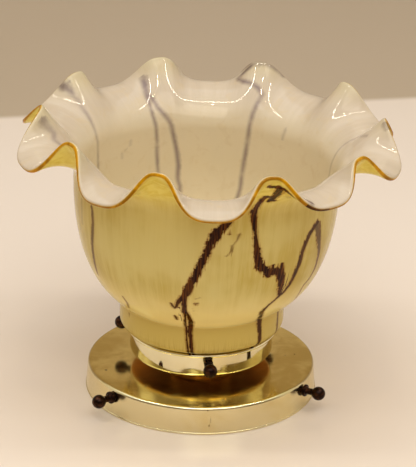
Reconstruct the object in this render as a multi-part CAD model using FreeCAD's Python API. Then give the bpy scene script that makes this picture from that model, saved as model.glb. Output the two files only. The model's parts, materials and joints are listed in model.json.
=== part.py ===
import FreeCAD, Part
import math
import os

# Ceiling light with a ruffled glass shade, in millimetres.
# It stands on its canopy, so +Z runs from the ceiling plane (Z = 0) to the mouth of the shade.
# Angles round the axis are in degrees from -Y, growing towards +X.

V = FreeCAD.Vector

# Clearances
thread_gap = 0.05
slide_gap = 0.3
tip_gap = 0.2
seat_gap = 0.1

# Canopy, a spun brass pan with its open rim on the ceiling
canopy_rim_r = 68.0
canopy_taper = 1.2
canopy_height = 16.5
canopy_wall = 0.9
canopy_corner_r = 1.3
canopy_hem_r = 0.6

# Thumb screws, with a ball to grip and a collar that stops at the wall
screw_r = 2.0
screw_tighten = 0.45
screw_tip_chamfer = 0.4
collar_thickness = 1.7
collar_round = 0.5
grip_neck_r = 2.2
grip_ball_r = 4.05
canopy_collar_r = 3.6
canopy_ball_reach = 9.2
canopy_screw_angles = {"left": -48.6, "right": 62.6, "back": 186.0}
gallery_collar_r = 2.7
gallery_ball_reach = 7.6
gallery_screw_angles = {"front": 6.4, "right": 127.0, "left": -107.5}

# Ceiling plate, which the canopy slides over and its thumb screws grip
plate_wall = 1.0
plate_corner_r = 2.0
plate_lip_out = 0.8
plate_lip_gap = 0.5
plate_top_gap = 1.0
plate_centre_r = 18.0
plate_centre_rise = 2.0
plate_centre_slope = 2.0
fixing_slot_spacing = 60.0
fixing_slot_length = 16.0
fixing_slot_r = 2.5

# Rubber grommet round the cable entry
grommet_bore_r = 4.5
grommet_hole_r = 8.0
grommet_flange_r = 11.0
grommet_flange_t = 1.6
grommet_round = 0.5

# Stem, a hollow threaded tube that clamps canopy, spacer and gallery together
stem_r = 4.9
stem_bore_r = 3.75
stem_nut_flats = 14.0
stem_nut_height = 3.0
stem_nut_chamfer = 0.6
stem_end = 0.5
stem_grip = 5.4
washer_r = 10.0
washer_thickness = 1.0
bush_flange_r = 4.8
bush_flange_t = 0.6
bush_bore_r = 3.1
bush_length = 4.0

# Spacer, a pressed brass cup between canopy and gallery
spacer_r = 20.0
spacer_height = 6.7
spacer_wall = 1.1
spacer_corner_r = 1.5

# Gallery, the brass cup that holds the fitter lip of the shade
fitter_r = 40.4
fitter_gap = 0.7
gallery_wall = 0.9
gallery_height = 15.3
gallery_corner_r = 2.5
gallery_bead_out = 2.0
gallery_bead_height = 1.9
gallery_bead_round = 0.9

# Glass shade, from its fitter lip up to the ruffled rim
glass_wall = 3.0
lip_height = 5.2
lip_round = 1.8
groove_depth = 0.6
groove_slope = 0.9
groove_play = 0.2
neck_r = 48.3
neck_height = 18.5
neck_lift = 0.5
neck_slope = 1.4
neck_shoulder_r = 6.0
bowl_r = 76.8
bowl_height = 76.5
bowl_base_out = 15.7
bowl_base_up = 10.0
bowl_side_drop = 46.0
shade_lean = 1.3
lean_blend = 10.0

# Ruffled rim: crests stand up between drooping lobes
ruffle_count = 10
first_crest = -52.0
lobe_r = 110.0
lobe_rise = 16.8
lobe_throat = 16.0
lobe_roll = 7.0
crest_r = 100.0
crest_rise = 35.0
crest_throat = 10.0
crest_roll = 12.0
flare_start = 15.0
crest_sharpness = 1.9
crest_roundness = 1.4
poles_per_ruffle = 16

# Hand-made unevenness: each crest's degrees round, millimetres up and out, and the droop of the lobe after it
hand_work = (
    (4.5, 3.0, 0.0, 1.6), (0.4, -1.2, 0.0, 2.0), (-0.4, -1.4, 0.0, 0.4), (-1.0, -2.3, 0.0, 1.6),
    (0.5, -2.0, 0.0, 0.4), (-2.0, 1.0, 0.0, -0.4), (-2.0, 0.0, 0.0, 0.0), (-2.0, 0.4, 0.0, -0.4),
    (-3.6, 0.4, 0.0, -0.4), (-1.0, 0.0, -5.0, 1.4),
)

# Lampholder on top of the stem
holder_r = 19.9
holder_wall = 0.8
holder_height = 31.8
holder_sleeve_rise = 5.0
holder_mouth_r = 14.6
holder_corner_r = 2.0
cap_neck_r = 8.0
cap_neck_height = 6.4
cap_throat = 1.3
cap_rise = 9.1
cap_skirt = 8.8
cap_wall = 1.0
cap_shoulder_r = 4.0
insulator_drop = 3.0
insulator_flange = 2.0
insulator_floor = 4.0
insulator_wall = 3.0
lamp_thread_r = 13.25
lamp_shell_wall = 0.5
lamp_shell_height = 14.5
lamp_shell_foot = 1.8
contact_well_r = 12.7
contact_well_depth = 5.5
contact_offset = 8.0
contact_width = 5.0
contact_strip = 0.5
contact_foot = 2.0
contact_spring_rise = 4.2
rivet_r = 1.5
pillar_r = 2.6
pillar_height = 5.4
pillar_bore_depth = 3.6
pillar_screw_r = 1.25
pillar_screw_head_r = 2.2
pillar_screw_head = 1.6
lock_screw_r = 1.5

# Terminal block on a strap under the stem nut
strap_width = 16.0
strap_thickness = 1.0
strap_tail = 11.0
block_length = 26.0
block_depth = 16.0
block_height = 11.0
block_centre_y = 36.0
block_round = 1.0
way_pitch = 8.5
way_screw_spacing = 8.0
tube_r = 2.2
tube_bore_r = 1.3
tube_inset = 1.0
tube_rise = 5.9
block_screw_r = 1.45
block_screw_length = 3.4
block_well_r = 2.0
fixing_screw_r = 1.5
fixing_head_r = 2.8
fixing_head_height = 1.8
fixing_head_sink = 2.4

# Leads
lead_r = 1.0
lead_gap = 0.1
lead_entry = 5.0
tag_thickness = 0.6
tag_r = 9.0
tag_barrel_r = 1.5
tag_barrel_length = 6.0

# Heights of the clamped stack, worked out from the sizes above
canopy_ceiling_z = canopy_height - canopy_wall
strap_top_z = canopy_ceiling_z - washer_thickness
strap_z = strap_top_z - strap_thickness
tag_z = strap_z - tag_thickness
stem_nut_z = tag_z - stem_nut_height
stem_bottom_z = stem_nut_z - stem_end
gallery_z = canopy_height + spacer_height
seat_z = gallery_z + gallery_wall
gallery_top_z = gallery_z + gallery_height
gallery_nut_z = seat_z + washer_thickness
cap_z = gallery_nut_z + stem_nut_height
stem_top_z = cap_z + stem_grip
stem_hole_r = stem_r + slide_gap

# Heights inside the lampholder
cap_top_z = cap_z + cap_rise + cap_skirt
lock_screw_z = cap_z + cap_neck_height * 0.4
insulator_z = cap_top_z - insulator_drop
pillar_z = insulator_z - pillar_height
contact_floor_z = cap_top_z + insulator_floor
holder_low_z = cap_z + cap_rise + holder_sleeve_rise
holder_top_z = holder_low_z + holder_height

# Terminal block
block_z = strap_z - block_height
block_near_y = block_centre_y - block_depth / 2
tube_z = block_z + tube_rise
barrel_z = strap_z - tag_barrel_r

# Radii of the canopy, plate and gallery, and places of the thumb screws
canopy_top_r = canopy_rim_r - canopy_taper
gallery_bore_r = fitter_r + fitter_gap
gallery_r = gallery_bore_r + gallery_wall
plate_lip_r = canopy_top_r - canopy_wall - plate_lip_gap
plate_r = plate_lip_r - plate_lip_out
plate_top_z = canopy_ceiling_z - plate_top_gap
plate_lip_z = plate_top_z - plate_wall
canopy_screw_z = plate_lip_z - tip_gap - screw_r
gallery_screw_z = seat_z + lip_height + tip_gap + screw_r
canopy_tip_r = plate_lip_r + tip_gap
gallery_tip_r = fitter_r + tip_gap
collar_low_z = canopy_screw_z - canopy_collar_r
hem_top_z = 2 * canopy_hem_r
canopy_face_r = canopy_rim_r - canopy_taper * (collar_low_z - hem_top_z) / (canopy_height - hem_top_z)
collar_stand = screw_tighten + seat_gap


def rounded_outline(corners):
    """Closed wire in the XZ plane through (x, z, radius) corners, each corner an arc of its radius."""
    points = [V(x, 0, z) for x, z, radius in corners]
    count = len(points)
    ends = []
    for index, corner in enumerate(corners):
        here = points[index]
        back = (points[index - 1] - here).normalize()
        ahead = (points[(index + 1) % count] - here).normalize()
        radius = corner[2]
        if radius <= 0:
            ends.append((here, None, here))
            continue
        half = back.getAngle(ahead) / 2
        reach = radius / math.tan(half)
        centre = here + (back + ahead).normalize() * (radius / math.sin(half))
        middle = centre + (here - centre).normalize() * radius
        ends.append((here + back * reach, middle, here + ahead * reach))
    edges = []
    for index, (start, middle, finish) in enumerate(ends):
        if middle is not None:
            edges.append(Part.Arc(start, middle, finish).toShape())
        following = ends[(index + 1) % count][0]
        if (following - finish).Length > 1e-6:
            edges.append(Part.LineSegment(finish, following).toShape())
    return Part.Wire(edges)


def turned(corners):
    """Solid of revolution round Z of a rounded outline."""
    return Part.Face(rounded_outline(corners)).revolve(V(0, 0, 0), V(0, 0, 1), 360)


def cylinder(radius, low, high, x=0.0, y=0.0):
    """Upright cylinder between two heights."""
    return Part.makeCylinder(radius, high - low, V(x, y, low))


def ring(outer, inner, low, high):
    """Upright tube between two heights."""
    return cylinder(outer, low, high).cut(cylinder(inner, low, high))


def block(x0, x1, y0, y1, z0, z1):
    """Box between two corners."""
    return Part.makeBox(x1 - x0, y1 - y0, z1 - z0, V(x0, y0, z0))


def at_angle(shape, angle, height):
    """Copy of a shape made along +X, turned to an angle round the axis and raised."""
    placed = shape.copy()
    placed.rotate(V(0, 0, 0), V(0, 0, 1), angle - 90.0)
    placed.translate(V(0, 0, height))
    return placed


def radial_hole(radius, start, finish):
    """Cylinder along +X that cuts a radial hole."""
    return Part.makeCylinder(radius, finish - start, V(start, 0, 0), V(1, 0, 0))


def hex_nut(low):
    """Thin hexagon nut on the stem, chamfered on both faces."""
    corner_r = stem_nut_flats / math.sqrt(3)
    high = low + stem_nut_height
    points = [V(corner_r * math.cos(math.radians(60 * k)), corner_r * math.sin(math.radians(60 * k)), low)
              for k in range(7)]
    prism = Part.Face(Part.makePolygon(points)).extrude(V(0, 0, stem_nut_height))
    flat_r = stem_nut_flats / 2
    crown = turned([
        (0, low, 0), (flat_r, low, 0), (corner_r, low + stem_nut_chamfer, 0),
        (corner_r, high - stem_nut_chamfer, 0), (flat_r, high, 0), (0, high, 0),
    ])
    return prism.common(crown).cut(cylinder(stem_r + thread_gap, low, high))


def lead(points):
    """Round lead along straight runs joined by tangent arcs."""
    edges = []
    start = points[0]
    for before, corner, after in zip(points, points[1:], points[2:]):
        back = before - corner
        ahead = after - corner
        reach = 0.45 * min(back.Length, ahead.Length)
        back.normalize()
        ahead.normalize()
        half = back.getAngle(ahead) / 2
        radius = reach * math.tan(half)
        centre = corner + (back + ahead).normalize() * (radius / math.sin(half))
        middle = centre + (corner - centre).normalize() * radius
        edges.append(Part.LineSegment(start, corner + back * reach).toShape())
        start = corner + ahead * reach
        edges.append(Part.Arc(corner + back * reach, middle, start).toShape())
        print("lead bend radius", round(radius, 2))
    edges.append(Part.LineSegment(start, points[-1]).toShape())
    path = Part.Wire(edges)
    section = Part.Wire([Part.Circle(points[0], points[1] - points[0], lead_r).toShape()])
    tube = path.makePipeShell([section], True, False)
    print("lead volume error", round(tube.Volume / (math.pi * lead_r ** 2 * path.Length) - 1, 6))
    return tube


def ceiling_plate():
    """Pressed dish with a raised centre, an out-turned lip and two slots for the ceiling screws."""
    inner_r = plate_r - plate_wall
    inner_corner_r = plate_corner_r - plate_wall
    raised = plate_centre_rise
    slope_end = plate_centre_r + plate_centre_slope
    dish = turned([
        (grommet_hole_r, raised, 0), (plate_centre_r, raised, 0), (slope_end, 0, 0),
        (plate_r, 0, plate_corner_r), (plate_r, plate_lip_z, 0), (plate_lip_r, plate_lip_z, 0),
        (plate_lip_r, plate_top_z, 0), (inner_r, plate_top_z, 0), (inner_r, plate_wall, inner_corner_r),
        (slope_end, plate_wall, 0), (plate_centre_r, raised + plate_wall, 0),
        (grommet_hole_r, raised + plate_wall, 0),
    ])
    straight = fixing_slot_length / 2 - fixing_slot_r
    for side in (-1, 1):
        middle = side * fixing_slot_spacing / 2
        slot = block(middle - straight, middle + straight, -fixing_slot_r, fixing_slot_r, 0, plate_wall)
        for end in (-straight, straight):
            slot = slot.fuse(cylinder(fixing_slot_r, 0, plate_wall, middle + end))
        dish = dish.cut(slot)
    return dish


def cable_grommet():
    """Rubber ring in the hole of the ceiling plate, with a flange on each side."""
    groove_low = plate_centre_rise
    groove_high = groove_low + plate_wall
    top = groove_high + grommet_flange_t
    return turned([
        (grommet_bore_r, 0, 0), (grommet_flange_r, 0, grommet_round),
        (grommet_flange_r, groove_low, 0), (grommet_hole_r - seat_gap, groove_low, 0),
        (grommet_hole_r - seat_gap, groove_high, 0), (grommet_flange_r, groove_high, 0),
        (grommet_flange_r, top, grommet_round), (grommet_bore_r, top, 0),
    ])


def canopy():
    """Shallow pan with a slightly tapered wall, a rolled hem and three tapped holes."""
    pan = turned([
        (stem_hole_r, canopy_ceiling_z, 0),
        (canopy_top_r - canopy_wall, canopy_ceiling_z, canopy_corner_r - canopy_wall),
        (canopy_rim_r - canopy_wall, hem_top_z, 0), (canopy_rim_r - canopy_wall, 0, canopy_wall * 0.4),
        (canopy_rim_r + canopy_wall * 0.4, 0, canopy_wall * 0.5),
        (canopy_rim_r + canopy_wall * 0.4, hem_top_z, canopy_wall * 0.4), (canopy_rim_r, hem_top_z, 0),
        (canopy_top_r, canopy_height, canopy_corner_r), (stem_hole_r, canopy_height, 0),
    ])
    hole = radial_hole(screw_r + thread_gap, canopy_tip_r - canopy_wall, canopy_rim_r + canopy_wall)
    for angle in canopy_screw_angles.values():
        pan = pan.cut(at_angle(hole, angle, canopy_screw_z))
    return pan


def thumb_screw(tip, wall, collar_r, ball_reach):
    """Turned screw along +X: chamfered tip, shank, collar off the wall, slim neck and round ball."""
    collar = wall + collar_stand
    neck = collar + collar_thickness
    ball = collar + ball_reach
    profile = Part.Face(rounded_outline([
        (tip, 0, 0), (tip, screw_r - screw_tip_chamfer, 0), (tip + screw_tip_chamfer, screw_r, 0),
        (collar, screw_r, 0), (collar, collar_r, collar_round), (neck, collar_r, collar_round),
        (neck, grip_neck_r, 0), (ball, grip_neck_r, 0), (ball, 0, 0),
    ]))
    body = profile.revolve(V(0, 0, 0), V(1, 0, 0), 360)
    return body.fuse(Part.makeSphere(grip_ball_r, V(ball, 0, 0))).removeSplitter()


def stem():
    """Hollow threaded tube from under the canopy into the lampholder cap."""
    return ring(stem_r, stem_bore_r, stem_bottom_z, stem_top_z)


def stem_bush():
    """Moulded bush that keeps the leads off the sharp lower edge of the stem."""
    flange_z = stem_bottom_z - bush_flange_t
    sleeve_r = stem_bore_r - thread_gap
    return turned([
        (bush_bore_r, flange_z, 0.2), (bush_flange_r, flange_z, 0.2), (bush_flange_r, stem_bottom_z, 0),
        (sleeve_r, stem_bottom_z, 0), (sleeve_r, stem_bottom_z + bush_length, 0),
        (bush_bore_r, stem_bottom_z + bush_length, 0),
    ])


def spacer():
    """Pressed cup standing on its skirt, with its flat top under the gallery."""
    skirt_r = spacer_r - spacer_wall
    ceiling = gallery_z - spacer_wall
    return turned([
        (stem_hole_r, ceiling, 0), (skirt_r, ceiling, spacer_corner_r - spacer_wall),
        (skirt_r, canopy_height, 0), (spacer_r, canopy_height, 0),
        (spacer_r, gallery_z, spacer_corner_r), (stem_hole_r, gallery_z, 0),
    ])


def gallery():
    """Cup with a rounded foot, a straight wall and a rolled bead, tapped for three screws."""
    bead_r = gallery_r + gallery_bead_out
    bead_z = gallery_top_z - gallery_bead_height
    cup = turned([
        (stem_hole_r, gallery_z, 0), (gallery_r, gallery_z, gallery_corner_r), (gallery_r, bead_z, 0.3),
        (bead_r, bead_z, gallery_bead_round), (bead_r, gallery_top_z, gallery_bead_round),
        (gallery_bore_r, gallery_top_z, 0.4), (gallery_bore_r, seat_z, gallery_corner_r - gallery_wall),
        (stem_hole_r, seat_z, 0),
    ])
    hole = radial_hole(screw_r + thread_gap, gallery_tip_r - gallery_wall, gallery_r + gallery_wall)
    for angle in gallery_screw_angles.values():
        cup = cup.cut(at_angle(hole, angle, gallery_screw_z))
    return cup


def hand(index):
    """Drift, lift, reach and droop that the glassmaker's hand left at a crest."""
    return hand_work[index % ruffle_count % len(hand_work)]


def crest_angle(index):
    """Angle of a crest, with its hand-made drift."""
    step = 360.0 / ruffle_count
    return first_crest + step * index + hand(index)[0]


def ruffle_phase(angle):
    """Crest before an angle, and the phase from that crest (0) to the next (a full turn)."""
    index = 0
    angle = crest_angle(0) + (angle - crest_angle(0)) % 360.0
    while index + 1 < ruffle_count and crest_angle(index + 1) <= angle:
        index += 1
    start = crest_angle(index)
    finish = crest_angle(index + 1) if index + 1 < ruffle_count else crest_angle(0) + 360.0
    return index, 2 * math.pi * (angle - start) / (finish - start)


def between_crests(index, phase, work):
    """One of the hand's marks, taken evenly from a crest to the next one."""
    return hand(index)[work] + (hand(index + 1)[work] - hand(index)[work]) * phase / (2 * math.pi)


def flare_rows(base_z):
    """Control rings of the flare's middle surface, from the bowl's top to the rim.

    Each ring blends a drooping lobe and a standing crest by a raised cosine of the ruffle's phase,
    to a power that keeps the lobes full, with a bump near its top that rounds the crests.
    """
    half = glass_wall / 2
    base_r = bowl_r - half
    lobe = ((base_r, 0), (base_r, flare_start), (lobe_r - lobe_throat, lobe_rise + lobe_roll),
            (lobe_r, lobe_rise))
    crest = ((base_r, 0), (base_r, flare_start), (crest_r - crest_throat, crest_rise - crest_roll),
             (crest_r, crest_rise))
    pull = (0.0, 0.0, 0.6, 1.0)
    count = ruffle_count * poles_per_ruffle
    rows = []
    for row in range(4):
        ring_points = []
        for step in range(count):
            angle = pole_angle(step, count)
            index, phase = ruffle_phase(angle)
            lift = between_crests(index, phase, 1)
            reach = between_crests(index, phase, 2)
            share = ((1 + math.cos(phase)) / 2) ** crest_sharpness
            share += crest_roundness * share ** 4 * (1 - share)
            radius = lobe[row][0] + (crest[row][0] + reach * pull[row] - lobe[row][0]) * share
            low = lobe[row][1] - hand(index)[3] * pull[row]
            high = crest[row][1] + lift * pull[row]
            rise = low + (high - low) * share
            ring_points.append(round_axis(radius, base_z + rise, angle))
        rows.append(ring_points)
    return rows


def pole_angle(step, count):
    """Angle of a control point; the second one lies on +X, where the revolved neck has its seam."""
    return 90.0 + 360.0 * (step - 1) / count


def round_axis(radius, height, angle):
    """Point at a radius, height and angle."""
    turn = math.radians(angle)
    return V(radius * math.sin(turn), -radius * math.cos(turn), height)


def lean(point, base_z):
    """Tip a point of the bowl or flare about the neck's top, as the hand-blown shade stands."""
    rise = point.z - base_z
    slope = math.tan(math.radians(shade_lean))
    share = min(1.0, max(0.0, rise / lean_blend))
    return V(point.x + rise * slope, point.y, point.z - point.x * slope * share)


def ring_surface(rows, base_z):
    """Face that is closed round the axis, through four control rings."""
    count = len(rows[0])
    swell = 3.0 / (2.0 + math.cos(2 * math.pi / count))
    poles = []
    for step in range(count):
        column = []
        for row in rows:
            point = row[step]
            column.append(lean(V(point.x * swell, point.y * swell, point.z), base_z))
        poles.append(column)
    surface = Part.BSplineSurface()
    surface.buildFromPolesMultsKnots(
        poles, [1] * (count + 1), [4, 4], list(range(count + 1)), [0, 1], True, False, 3, 3)
    return surface.toShape()


def glass_shade():
    """Lip, groove and neck turned round the axis, then the bowl, the ruffled flare and its round rim."""
    half = glass_wall / 2
    shoulder_z = gallery_top_z + neck_lift
    crease_z = shoulder_z + neck_height
    bowl_top_z = crease_z + bowl_height
    lip_bore_r = fitter_r - groove_depth - glass_wall
    groove_r = fitter_r - groove_depth
    groove_low = seat_z + lip_height
    groove_high = groove_low + 2 * (screw_r + tip_gap) + groove_play
    inner_neck_r = neck_r - glass_wall
    neck = rounded_outline([
        (inner_neck_r, crease_z, 0), (inner_neck_r, shoulder_z + neck_slope + half, neck_shoulder_r / 2),
        (lip_bore_r, shoulder_z + half, neck_shoulder_r / 3), (lip_bore_r, seat_z, half * 0.5),
        (fitter_r, seat_z, lip_round), (fitter_r, groove_low - groove_slope, 0.5),
        (groove_r, groove_low, 0.4), (groove_r, groove_high, 0.4),
        (fitter_r, groove_high + groove_slope, 0.4), (fitter_r, shoulder_z, 1.0),
        (neck_r, shoulder_z + neck_slope, neck_shoulder_r), (neck_r, crease_z, 0),
    ])
    open_edges = [edge for edge in neck.Edges
                  if not all(abs(vertex.Z - crease_z) < 1e-6 for vertex in edge.Vertexes)]
    neck_shell = Part.Wire(Part.sortEdges(open_edges)[0]).revolve(V(0, 0, 0), V(0, 0, 1), 360)

    count = ruffle_count * poles_per_ruffle
    base_length = math.hypot(bowl_base_out, bowl_base_up)
    base_in = glass_wall * bowl_base_up / base_length
    base_lift = glass_wall * bowl_base_out / base_length
    outer_bowl = (
        (neck_r, crease_z), (neck_r + bowl_base_out, crease_z + bowl_base_up),
        (bowl_r, bowl_top_z - bowl_side_drop), (bowl_r, bowl_top_z),
    )
    inner_bowl = (
        (inner_neck_r, crease_z), (neck_r + bowl_base_out - base_in, crease_z + bowl_base_up + base_lift),
        (bowl_r - glass_wall, bowl_top_z - bowl_side_drop), (bowl_r - glass_wall, bowl_top_z),
    )
    outer_rows = [[round_axis(r, z, pole_angle(step, count)) for step in range(count)] for r, z in outer_bowl]
    inner_rows = [[round_axis(r, z, pole_angle(step, count)) for step in range(count)] for r, z in inner_bowl]

    middle = flare_rows(bowl_top_z)
    outer_flare = []
    inner_flare = []
    rim_out = []
    rim_in = []
    for row in range(4):
        low = middle[max(row - 1, 0)]
        high = middle[min(row + 1, 3)]
        outer_ring = []
        inner_ring = []
        for step in range(count):
            around = middle[row][(step + 1) % count] - middle[row][step - 1]
            along = high[step] - low[step]
            normal = around.cross(along).normalize()
            outer_ring.append(middle[row][step] + normal * half)
            inner_ring.append(middle[row][step] - normal * half)
            if row == 3:
                ahead = normal.cross(around).normalize() * (half * 4 / 3)
                rim_out.append(outer_ring[-1] + ahead)
                rim_in.append(inner_ring[-1] + ahead)
        outer_flare.append(outer_ring)
        inner_flare.append(inner_ring)
    rim = [outer_flare[3], rim_out, rim_in, inner_flare[3]]

    faces = list(neck_shell.Faces)
    for rows in (outer_rows, inner_rows, outer_flare, inner_flare, rim):
        faces.append(ring_surface(rows, crease_z))
    shell = Part.makeShell(faces)
    shell.sewShape()
    shade = Part.makeSolid(Part.Shell(shell.Faces))
    if shade.Volume < 0:
        shade.reverse()
    return shade


def lampholder_cap():
    """Brass dome on the stem, with a slim threaded neck."""
    neck_top = cap_z + cap_neck_height
    skirt_r = holder_r - holder_wall - thread_gap
    dome_z = cap_z + cap_rise
    top = cap_top_z
    inner_r = skirt_r - cap_wall
    bore_r = stem_r + thread_gap
    dome = turned([
        (bore_r, cap_z, 0), (cap_neck_r, cap_z, 0.4), (cap_neck_r, neck_top - cap_throat, 1.0),
        (skirt_r, dome_z, cap_shoulder_r), (skirt_r, top, 0.2), (inner_r, top, 0.2),
        (inner_r, dome_z + cap_wall, cap_shoulder_r - cap_wall), (cap_neck_r - 0.4, neck_top, 0.4),
        (bore_r, neck_top, 0),
    ])
    hole = radial_hole(lock_screw_r + thread_gap, stem_r, cap_neck_r + cap_wall)
    return dome.cut(at_angle(hole, 0.0, lock_screw_z))


def holder_lock_screw():
    """Grub screw that stops the lampholder from turning on the stem."""
    screw = radial_hole(lock_screw_r, stem_r + thread_gap, cap_neck_r - 0.2)
    return at_angle(screw, 0.0, lock_screw_z)


def lampholder_insulator():
    """Glazed porcelain cup, with a flange on the cap's rim and a bore for the lamp's screw shell."""
    rim_z = cap_top_z
    low = insulator_z
    floor = contact_floor_z
    cap_bore_r = holder_r - holder_wall - thread_gap - cap_wall
    flange_r = holder_r - holder_wall - seat_gap
    bore_r = lamp_thread_r + lamp_shell_wall + seat_gap
    top = holder_top_z - holder_wall
    cup = turned([
        (0, low, 0), (cap_bore_r - seat_gap, low, 0.5), (cap_bore_r - seat_gap, rim_z, 0),
        (flange_r, rim_z, 0), (flange_r, rim_z + insulator_flange, 0.4),
        (bore_r + insulator_wall, rim_z + insulator_flange, 0.4),
        (bore_r + insulator_wall, top, 0.6), (bore_r, top, 0.6), (bore_r, floor + contact_well_depth, 0),
        (contact_well_r, floor + contact_well_depth, 0), (contact_well_r, floor, 0), (0, floor, 0),
    ])
    for side in (-1, 1):
        cup = cup.cut(cylinder(rivet_r + thread_gap, low, floor, side * contact_offset))
    return cup


def lampholder_shell():
    """Brass sleeve screwed over the cap, with an in-turned mouth."""
    top = holder_top_z
    low = holder_low_z
    edge = holder_wall * 0.4
    bore_r = holder_r - holder_wall
    return turned([
        (bore_r, low, 0), (holder_r, low, edge), (holder_r, top, holder_corner_r),
        (holder_mouth_r, top, edge), (holder_mouth_r, top - holder_wall, edge),
        (bore_r, top - holder_wall, holder_corner_r - holder_wall),
    ])


def lamp_screw_shell():
    """Brass shell that the lamp screws into, with an in-turned foot for the side contact."""
    low = contact_floor_z + contact_well_depth
    high = low + lamp_shell_height
    outer_r = lamp_thread_r + lamp_shell_wall
    foot_r = lamp_thread_r - lamp_shell_foot
    return turned([
        (foot_r, low, 0), (outer_r, low, 0), (outer_r, high, 0), (lamp_thread_r, high, 0),
        (lamp_thread_r, low + lamp_shell_wall, 0), (foot_r, low + lamp_shell_wall, 0),
    ])


def contact(side, outline):
    """Contact strip on the porcelain floor, riveted through it to a pillar terminal for one lead."""
    floor = contact_floor_z
    x = side * contact_offset
    pillar_top = insulator_z
    pillar_low = pillar_z
    points = [V(side * px, -contact_width / 2, floor + pz) for px, pz in outline]
    strip = Part.Face(Part.makePolygon(points + points[:1])).extrude(V(0, contact_width, 0))
    piece = strip.fuse(cylinder(rivet_r, pillar_top, floor, x))
    piece = piece.fuse(cylinder(pillar_r, pillar_low, pillar_top, x))
    piece = piece.cut(cylinder(lead_r + lead_gap, pillar_low, pillar_low + pillar_bore_depth, x))
    hole = radial_hole(pillar_screw_r + thread_gap, contact_offset, contact_offset + pillar_r + 1.0)
    return piece.cut(at_angle(hole, side * 90.0, pillar_low + pillar_bore_depth / 2)).removeSplitter()


def centre_contact():
    """Sprung tongue that rises to the tip of the lamp cap."""
    heel = contact_offset + contact_foot
    bend = contact_offset - contact_foot
    t = contact_strip
    rise = contact_spring_rise
    tip = -contact_width / 2
    return contact(-1, [
        (heel, 0), (heel, t), (bend, t), (0, rise + t), (tip, rise + t), (tip, rise), (0, rise), (bend, 0),
    ])


def side_contact():
    """Tongue that stands up under the foot of the screw shell."""
    outside = contact_well_r - 2 * slide_gap
    inside = contact_offset - contact_foot
    t = contact_strip
    rise = contact_well_depth - seat_gap
    return contact(1, [
        (inside, 0), (inside, t), (outside - t, t), (outside - t, rise), (outside, rise), (outside, 0),
    ])


def pillar_screw():
    """Small screw along +X that clamps a lead in its pillar."""
    start = contact_offset + lead_r + 2 * thread_gap
    head = contact_offset + pillar_r
    shank = radial_hole(pillar_screw_r, start, head)
    return shank.fuse(radial_hole(pillar_screw_head_r, head, head + pillar_screw_head))


def holder_terminal_screws():
    """One clamping screw for each pillar terminal."""
    height = pillar_z + pillar_bore_depth / 2
    return [at_angle(pillar_screw(), side * 90.0, height) for side in (-1, 1)]


def terminal_strap():
    """Steel strap clamped by the stem nut, which carries the terminal block."""
    far = block_centre_y + block_depth / 2 + 2.0
    half = strap_width / 2
    strap = block(-half, half, -strap_tail, far, strap_z, strap_top_z)
    corners = [edge for edge in strap.Edges if edge.BoundBox.ZLength > strap_thickness / 2]
    strap = strap.makeFillet(half / 2, corners)
    strap = strap.cut(cylinder(stem_hole_r, strap_z, strap_top_z))
    hole_r = fixing_screw_r + thread_gap
    return strap.cut(cylinder(hole_r, strap_z, strap_top_z, way_pitch / 2, block_centre_y))


def way_places():
    """X of each way, from live to neutral with earth between."""
    return (-way_pitch, 0.0, way_pitch)


def terminal_block():
    """Moulded three-way block with its screw wells facing the ceiling."""
    low = block_z
    near = block_near_y
    far = near + block_depth
    body = block(-block_length / 2, block_length / 2, near, far, low, strap_z)
    uprights = [edge for edge in body.Edges if edge.BoundBox.ZLength > block_height / 2]
    body = body.makeFillet(block_round, uprights)
    for x in way_places():
        body = body.cut(Part.makeCylinder(tube_r + thread_gap, block_depth, V(x, near, tube_z), V(0, 1, 0)))
        for side in (-1, 1):
            y = block_centre_y + side * way_screw_spacing / 2
            body = body.cut(cylinder(block_well_r, low, tube_z, x, y))
    x = way_pitch / 2
    body = body.cut(cylinder(fixing_screw_r + seat_gap, low, strap_z, x, block_centre_y))
    return body.cut(cylinder(fixing_head_r + seat_gap, low, low + fixing_head_sink, x, block_centre_y))


def terminal_tubes():
    """Three brass tubes, tapped for their screws."""
    near = block_near_y + tube_inset
    length = block_depth - 2 * tube_inset
    tubes = []
    for x in way_places():
        start = V(x, near, tube_z)
        tube = Part.makeCylinder(tube_r, length, start, V(0, 1, 0))
        tube = tube.cut(Part.makeCylinder(tube_bore_r, length, start, V(0, 1, 0)))
        for side in (-1, 1):
            y = block_centre_y + side * way_screw_spacing / 2
            tube = tube.cut(cylinder(block_screw_r + thread_gap, tube_z - tube_r, tube_z, x, y))
        tubes.append(tube)
    return tubes


def terminal_block_screws():
    """Two screws for each way, reaching to just under the lead."""
    top = tube_z - lead_r - seat_gap
    screws = []
    for x in way_places():
        for side in (-1, 1):
            y = block_centre_y + side * way_screw_spacing / 2
            screws.append(cylinder(block_screw_r, top - block_screw_length, top, x, y))
    return screws


def block_fixing_screw():
    """Pan-head screw that holds the block to the strap."""
    seat = block_z + fixing_head_sink
    x = way_pitch / 2
    shank = cylinder(fixing_screw_r, seat, strap_top_z, x, block_centre_y)
    head = cylinder(fixing_head_r, seat - fixing_head_height, seat, x, block_centre_y)
    return shank.fuse(head).removeSplitter()


def holder_lead(side):
    """Insulated lead from a way of the block, up the stem to a pillar of the lampholder."""
    pillar_low = pillar_z
    beside = side * (lead_r + lead_gap)
    entry = block_near_y
    turn_z = stem_bottom_z - 3.3 * lead_r
    return lead([
        V(side * contact_offset, 0, pillar_low + pillar_bore_depth - 1.2 * lead_r),
        V(side * contact_offset, 0, pillar_low - 1.8 * lead_r),
        V(beside, 0, cap_z + cap_neck_height + lead_r),
        V(beside, 0, turn_z),
        V(side * way_pitch * 0.45, entry * 0.35, turn_z),
        V(side * way_pitch, entry * 0.7, tube_z),
        V(side * way_pitch, entry + lead_entry, tube_z),
    ])


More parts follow.
